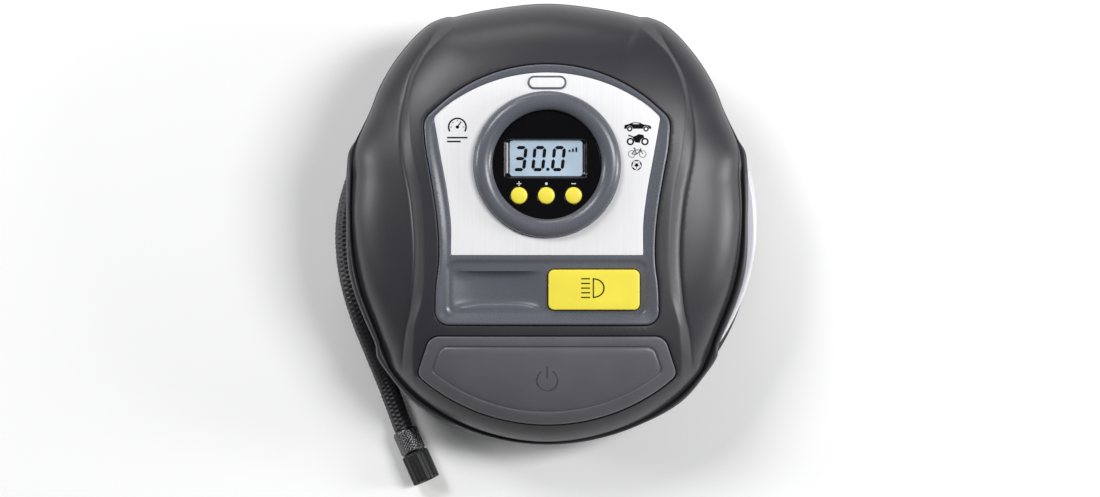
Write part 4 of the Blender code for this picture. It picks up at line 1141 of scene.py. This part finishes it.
def build_camera():
    """Straight on to the face, far enough away that the object fills the picture's height."""
    aim = np.array((1.3, -11.2))
    distance = 1300.0
    camera = bpy.data.cameras.new("camera")
    camera.lens = 96.69
    camera.sensor_width = 36.0
    camera.clip_end = 20.0
    holder = bpy.data.objects.new("camera", camera)
    holder.location = on_face(raised([aim], distance))[0] * MM
    holder.rotation_euler = (math.radians(FACE_TILT), 0.0, 0.0)
    bpy.context.scene.collection.objects.link(holder)
    bpy.context.scene.camera = holder


def add_light(name, place, aim, size, power, colour=(1.0, 1.0, 1.0)):
    light = bpy.data.lights.new(name, "AREA")
    light.shape = "RECTANGLE"
    light.size = size[0]
    light.size_y = size[1]
    light.energy = power
    light.color = colour
    holder = bpy.data.objects.new(name, light)
    holder.location = place
    holder.rotation_euler = (Vector(aim) - Vector(place)).to_track_quat("-Z", "Y").to_euler()
    bpy.context.scene.collection.objects.link(holder)


def build_studio():
    world = bpy.data.worlds.new("studio")
    world.use_nodes = True
    background = world.node_tree.nodes["Background"]
    background.inputs["Color"].default_value = (0.96, 0.97, 1.0, 1.0)
    background.inputs["Strength"].default_value = 0.08
    bpy.context.scene.world = world
    bpy.context.scene.view_settings.view_transform = "Standard"
    aim = (0.0, 0.0, 0.05)
    add_light("key_back", (-0.3, 1.6, 0.7), aim, (1.0, 0.6), 7.0)
    add_light("key_left", (-0.8, 0.75, 1.25), aim, (0.5, 0.5), 11.0)
    add_light("key_right", (0.8, 0.1, 1.25), aim, (0.3, 0.6), 12.5)
    add_light("edge_right", (1.4, -0.05, 0.45), aim, (0.3, 0.5), 10.0)
    add_light("edge_left", (-1.35, 0.2, 0.5), aim, (0.3, 0.5), 6.0)

    floor_mesh = bpy.data.meshes.new("floor")
    reach = 4.0
    floor_mesh.from_pydata(
        [(-reach, -reach, 0.0), (reach, -reach, 0.0), (reach, reach, 0.0), (-reach, reach, 0.0)],
        [], [(0, 1, 2, 3)])
    paint = bpy.data.materials.new("floor")
    paint.use_nodes = True
    shader = paint.node_tree.nodes["Principled BSDF"]
    shader.inputs["Base Color"].default_value = (0.93, 0.93, 0.93, 1.0)
    shader.inputs["Roughness"].default_value = 0.9
    shader.inputs["Specular IOR Level"].default_value = 0.0
    floor_mesh.materials.append(paint)
    floor = bpy.data.objects.new("floor", floor_mesh)
    bpy.context.scene.collection.objects.link(floor)


# ---------------------------------------------------------------- materials

class Paint:
    """A material under construction, with short calls for the nodes that it needs."""

    def __init__(self, name, colour, roughness, metallic=0.0, **constants):
        self.material = bpy.data.materials.new(name)
        self.material.use_nodes = True
        self.tree = self.material.node_tree
        self.shader = self.tree.nodes["Principled BSDF"]
        self.colour = colour
        self.roughness = roughness
        self.set("Base Color", (*colour, 1.0))
        self.set("Roughness", roughness)
        self.set("Metallic", metallic)
        for socket, value in constants.items():
            self.set(socket.replace("_", " "), value)
        self.normal = None
        self.coordinates = self.node("ShaderNodeTexCoord").outputs["Object"]

    def set(self, socket, value):
        self.shader.inputs[socket].default_value = value

    def node(self, kind, **settings):
        made = self.tree.nodes.new(kind)
        for name, value in settings.items():
            setattr(made, name, value)
        return made

    def link(self, source, target):
        self.tree.links.new(source, target)

    def stretched(self, scale):
        """The object's coordinates in millimetres, divided by a grain size along each axis."""
        mapping = self.node("ShaderNodeMapping")
        self.link(self.coordinates, mapping.inputs["Vector"])
        mapping.inputs["Scale"].default_value = tuple(1.0 / (MM * size) for size in scale)
        return mapping.outputs["Vector"]

    def noise(self, size, detail=2.0, roughness=0.5):
        """Noise whose grain is about one size, in millimetres, or three sizes for a stretched grain."""
        scale = size if isinstance(size, tuple) else (size, size, size)
        texture = self.node("ShaderNodeTexNoise")
        texture.inputs["Scale"].default_value = 1.0
        texture.inputs["Detail"].default_value = detail
        texture.inputs["Roughness"].default_value = roughness
        self.link(self.stretched(scale), texture.inputs["Vector"])
        return texture.outputs["Fac"]

    def cells(self, size):
        texture = self.node("ShaderNodeTexVoronoi")
        texture.inputs["Scale"].default_value = 1.0
        self.link(self.stretched((size, size, size)), texture.inputs["Vector"])
        return texture.outputs["Distance"]

    def ranged(self, value, low, high, to_low, to_high):
        shift = self.node("ShaderNodeMapRange")
        self.link(value, shift.inputs["Value"])
        for socket, number in zip(("From Min", "From Max", "To Min", "To Max"), (low, high, to_low, to_high)):
            shift.inputs[socket].default_value = number
        return shift.outputs["Result"]

    def mottle(self, value, amount):
        """Lighten and darken the base colour by up to an amount."""
        mix = self.node("ShaderNodeMix", data_type="RGBA")
        dark = tuple(channel * (1.0 - amount) for channel in self.colour)
        light = tuple(min(1.0, channel * (1.0 + amount)) for channel in self.colour)
        mix.inputs["A"].default_value = (*dark, 1.0)
        mix.inputs["B"].default_value = (*light, 1.0)
        self.link(self.ranged(value, 0.3, 0.7, 0.0, 1.0), mix.inputs["Factor"])
        self.link(mix.outputs["Result"], self.shader.inputs["Base Color"])

    def vary_roughness(self, value, amount):
        spread = self.ranged(value, 0.3, 0.7, self.roughness - amount, self.roughness + amount)
        self.link(spread, self.shader.inputs["Roughness"])

    def bump(self, value, height):
        """Raise the surface by a height in millimetres where the value is 1."""
        bump = self.node("ShaderNodeBump")
        bump.inputs["Distance"].default_value = height * MM
        self.link(value, bump.inputs["Height"])
        if self.normal is not None:
            self.link(self.normal, bump.inputs["Normal"])
        self.normal = bump.outputs["Normal"]
        self.link(self.normal, self.shader.inputs["Normal"])


def moulded_plastic(name, colour, roughness, grain, height, amount=0.05, **constants):
    """Plastic from a textured mould: fine grain in relief and gloss, with faint mottling."""
    paint = Paint(name, colour, roughness, **constants)
    fine = paint.noise(grain, 3.0, 0.6)
    wide = paint.noise(14.0, 3.0)
    paint.mottle(wide, amount)
    paint.vary_roughness(fine, 0.05)
    paint.bump(fine, height)
    paint.bump(paint.noise(grain * 5.0, 2.0), height * 0.6)
    return paint.material


def machined_metal(name, colour, roughness, grain=(0.3, 0.3, 2.0), height=0.01):
    paint = Paint(name, colour, roughness, 1.0)
    marks = paint.noise(grain, 3.0, 0.6)
    paint.mottle(paint.noise(9.0, 2.0), 0.06)
    paint.vary_roughness(marks, 0.07)
    paint.bump(marks, height)
    return paint.material


def build_materials():
    made = {
        "shell_grey": moulded_plastic("shell_grey", (0.031, 0.0298, 0.0355), 0.38, 0.22, 0.022),
        "tray_black": moulded_plastic("tray_black", (0.013, 0.013, 0.015), 0.5, 0.45, 0.03),
        "frame_grey": moulded_plastic("frame_grey", (0.106, 0.112, 0.134), 0.28, 0.5, 0.008, 0.03),
        "button_grey": moulded_plastic("button_grey", (0.110, 0.108, 0.122), 0.36, 0.4, 0.016),
        "rubber_black": moulded_plastic("rubber_black", (0.006, 0.006, 0.0065), 0.5, 0.5, 0.03),
        "plastic_black": moulded_plastic("plastic_black", (0.025, 0.025, 0.027), 0.45, 0.4, 0.02),
        "nylon_white": moulded_plastic("nylon_white", (0.72, 0.71, 0.66), 0.5, 0.5, 0.01),
        "magnet": moulded_plastic("magnet", (0.07, 0.07, 0.08), 0.55, 0.3, 0.02),
        "steel": machined_metal("steel", (0.55, 0.55, 0.56), 0.3),
        "aluminium": machined_metal("aluminium", (0.62, 0.62, 0.63), 0.42),
        "brass": machined_metal("brass", (0.60, 0.42, 0.16), 0.3),
        "chrome": machined_metal("chrome", (0.13, 0.13, 0.135), 0.22, (0.5, 0.5, 0.5), 0.004),
        "copper": machined_metal("copper", (0.48, 0.22, 0.12), 0.4, (0.4, 6.0, 0.4), 0.06),
    }
    made["ink"] = moulded_plastic("ink", (0.004, 0.004, 0.005), 0.6, 0.2, 0.004, Specular_IOR_Level=0.08)
    made["board_green"] = board_material()
    made["brushed_silver"] = brushed_material()
    made["window_black"] = window_material()
    made["lcd_blue"] = lcd_material()
    made["button_yellow"] = moulded_plastic("button_yellow", (0.87, 0.745, 0.07), 0.36, 0.3, 0.006, 0.03)
    made["lens_white"] = lens_material()
    made["hose_braid"] = braid_material()
    return made


def board_material():
    paint = Paint("board_green", (0.02, 0.15, 0.06), 0.35)
    tracks = paint.ranged(paint.cells(2.2), 0.28, 0.34, 0.0, 1.0)
    mix = paint.node("ShaderNodeMix", data_type="RGBA")
    mix.inputs["A"].default_value = (0.03, 0.24, 0.10, 1.0)
    mix.inputs["B"].default_value = (0.015, 0.12, 0.05, 1.0)
    paint.link(tracks, mix.inputs["Factor"])
    paint.link(mix.outputs["Result"], paint.shader.inputs["Base Color"])
    paint.bump(tracks, 0.03)
    return paint.material


def brushed_material():
    """Silver foil with fine brush streaks that run up and down the face."""
    paint = Paint("brushed_silver", (0.79, 0.79, 0.81), 0.55, 0.05, Specular_IOR_Level=0.25)
    streaks = paint.noise((0.35, 60.0, 60.0), 4.0, 0.65)
    broad = paint.noise((2.4, 110.0, 110.0), 2.0)
    paint.mottle(streaks, 0.05)
    paint.vary_roughness(broad, 0.02)
    paint.bump(streaks, 0.008)
    return paint.material


def window_material():
    paint = Paint("window_black", (0.0035, 0.0035, 0.0045), 0.12, Specular_IOR_Level=0.3)
    paint.vary_roughness(paint.noise(6.0, 3.0), 0.02)
    paint.mottle(paint.noise(12.0), 0.1)
    return paint.material


def lcd_material():
    paint = Paint("lcd_blue", (0.46, 0.58, 0.70), 0.22, Coat_Weight=0.3, Coat_Roughness=0.08)
    paint.mottle(paint.noise(8.0, 1.0), 0.06)
    paint.bump(paint.noise(0.25, 1.0), 0.003)
    return paint.material


def lens_material():
    """Frosted white lens: milky, slightly glossy, with some light let through."""
    paint = Paint("lens_white", (0.80, 0.80, 0.85), 0.22, Transmission_Weight=0.12, IOR=1.49,
                  Subsurface_Weight=0.35, Subsurface_Radius=(0.004, 0.004, 0.004))
    paint.mottle(paint.noise(10.0), 0.02)
    paint.bump(paint.noise(0.7, 2.0), 0.006)
    return paint.material


def braid_material():
    """Woven polyester: dark threads with a little sheen, and painted shade: the colour is darker in the gaps
    between strands and lighter on their tops.
    """
    paint = Paint("hose_braid", (0.030, 0.030, 0.033), 0.4)
    relief = paint.node("ShaderNodeAttribute", attribute_name="relief").outputs["Fac"]
    threads = paint.noise(0.22, 2.0)
    # Painted shade: the base colour runs from near black in the gaps between strands to dark grey on their
    # tops, following the strand relief.
    mix = paint.node("ShaderNodeMix", data_type="RGBA")
    mix.inputs["A"].default_value = (0.002, 0.002, 0.0025, 1.0)
    mix.inputs["B"].default_value = (0.024, 0.0235, 0.027, 1.0)
    paint.link(relief, mix.inputs["Factor"])
    paint.link(mix.outputs["Result"], paint.shader.inputs["Base Color"])
    paint.vary_roughness(threads, 0.1)
    paint.bump(threads, 0.05)
    return paint.material


# ---------------------------------------------------------------- hose

def hose_knots():
    """The hose's route: round the channel, out under the left wing and down to the floor."""
    channel = [(*polar(azimuth, HOSE_LINE_RADIUS), HOSE_LINE_HEIGHT) for azimuth in (
        HOSE_START_AZIMUTH, *range(-100, 101, 20), 118.0, 134.0)]
    free = [
        (-75.8, 46.6, 22.3), (-84.4, 31.6, 22.3), (-90.2, 14.5, 22.4), (-92.3, 0.0, 22.4),
        (-91.6, -14.5, 22.3), (-89.0, -28.0, 22.1), (-84.8, -41.5, 19.2), (-79.3, -55.5, 13.2),
        (-74.4, -67.5, 8.2), (-70.2, -78.5, 6.5),
    ]
    return np.array([*channel, *free, tuple(FERRULE_START - END_DIRECTION * GAP)])


def spline_points(knots, spacing):
    """Points about one spacing apart on a smooth curve through the knots."""
    points = [knots[0]]
    last = len(knots) - 1
    for index in range(last):
        before, start = knots[max(index - 1, 0)], knots[index]
        end, after = knots[index + 1], knots[min(index + 2, last)]
        steps = max(1, round(np.linalg.norm(end - start) / spacing))
        for step in range(1, steps + 1):
            t = step / steps
            points.append(0.5 * (
                2.0 * start + (end - before) * t
                + (2.0 * before - 5.0 * start + 4.0 * end - after) * t ** 2
                + (3.0 * start - before - 3.0 * end + after) * t ** 3
            ))
    return np.array(points)


def braid_relief(along, around):
    """Height, 0 to 1, of two families of strands that pass over and under each other."""
    carriers = 6
    lead = 12.6
    first = (along / lead * 360.0 + around) * carriers / 360.0
    second = (along / lead * 360.0 - around) * carriers / 360.0
    over = np.sin(np.pi * (first + second)) * np.sin(np.pi * (first - second)) > 0.0
    crown_one = np.abs(np.sin(np.pi * first))
    crown_two = np.abs(np.sin(np.pi * second))
    top = np.where(over, crown_one, crown_two)
    return top ** 1.5


def build_hose(material):
    path = spline_points(hose_knots(), 0.5)
    steps = np.linalg.norm(np.diff(path, axis=0), axis=1)
    run = np.concatenate(([0.0], np.cumsum(steps)))
    length = run[-1]
    count = round(length / 0.42)
    marks = np.linspace(0.0, length, count + 1)
    line = np.stack([np.interp(marks, run, path[:, axis]) for axis in range(3)], axis=1)
    heading = np.gradient(line, axis=0)
    heading /= np.linalg.norm(heading, axis=1)[:, None]
    side = np.cross(heading, (0.0, 0.0, 1.0))
    side /= np.linalg.norm(side, axis=1)[:, None]
    upward = np.cross(side, heading)
    sides = 68
    angles = turn(sides)
    relief = braid_relief(marks[:, None], angles[None, :])
    radius = HOSE_DIAMETER / 2 - 0.45 + 0.45 * relief
    cosine = np.cos(np.radians(angles))[None, :, None]
    sine = np.sin(np.radians(angles))[None, :, None]
    skin = line[:, None, :] + radius[:, :, None] * (side[:, None, :] * cosine + upward[:, None, :] * sine)
    hose = Solid()
    loops = hose.bands(skin)
    hose.pole(loops[0], line[0])
    hose.pole(loops[-1], line[-1])
    piece = add_mesh("hose", hose, material, sharp=80.0)
    # The strand relief is also stored for the braid material, where it drives the painted shade in the gaps
    # between strands.
    attribute = piece.data.attributes.new("relief", "FLOAT", "POINT")
    attribute.data.foreach_set("value", np.concatenate((relief.ravel(), (0.5, 0.5))).astype(np.float32))
    stand_for(piece, "air_hose")
    return piece, line, length


# ---------------------------------------------------------------- the whole object

def main():
    build_camera()
    paints = build_materials()
    hose, line, length = build_hose(paints["hose_braid"])
    hose_end = build_hose_end(paints)
    build_studio()
    build_top_shell(paints["shell_grey"])
    build_base(paints["tray_black"])
    build_control_frame(paints["frame_grey"])
    build_silver_plate(paints["brushed_silver"])
    build_display(paints)
    build_round_buttons(paints["button_yellow"])
    build_light_button(paints)
    build_power_button(paints["button_grey"])
    build_print(paints)
    build_light(paints["lens_white"])
    for row in frame["record"]["subparts"]:
        node = frame["nodes"][row["node"]]
        node.data.materials.clear()
        node.data.materials.append(paints[row["material_slot"]])


main()
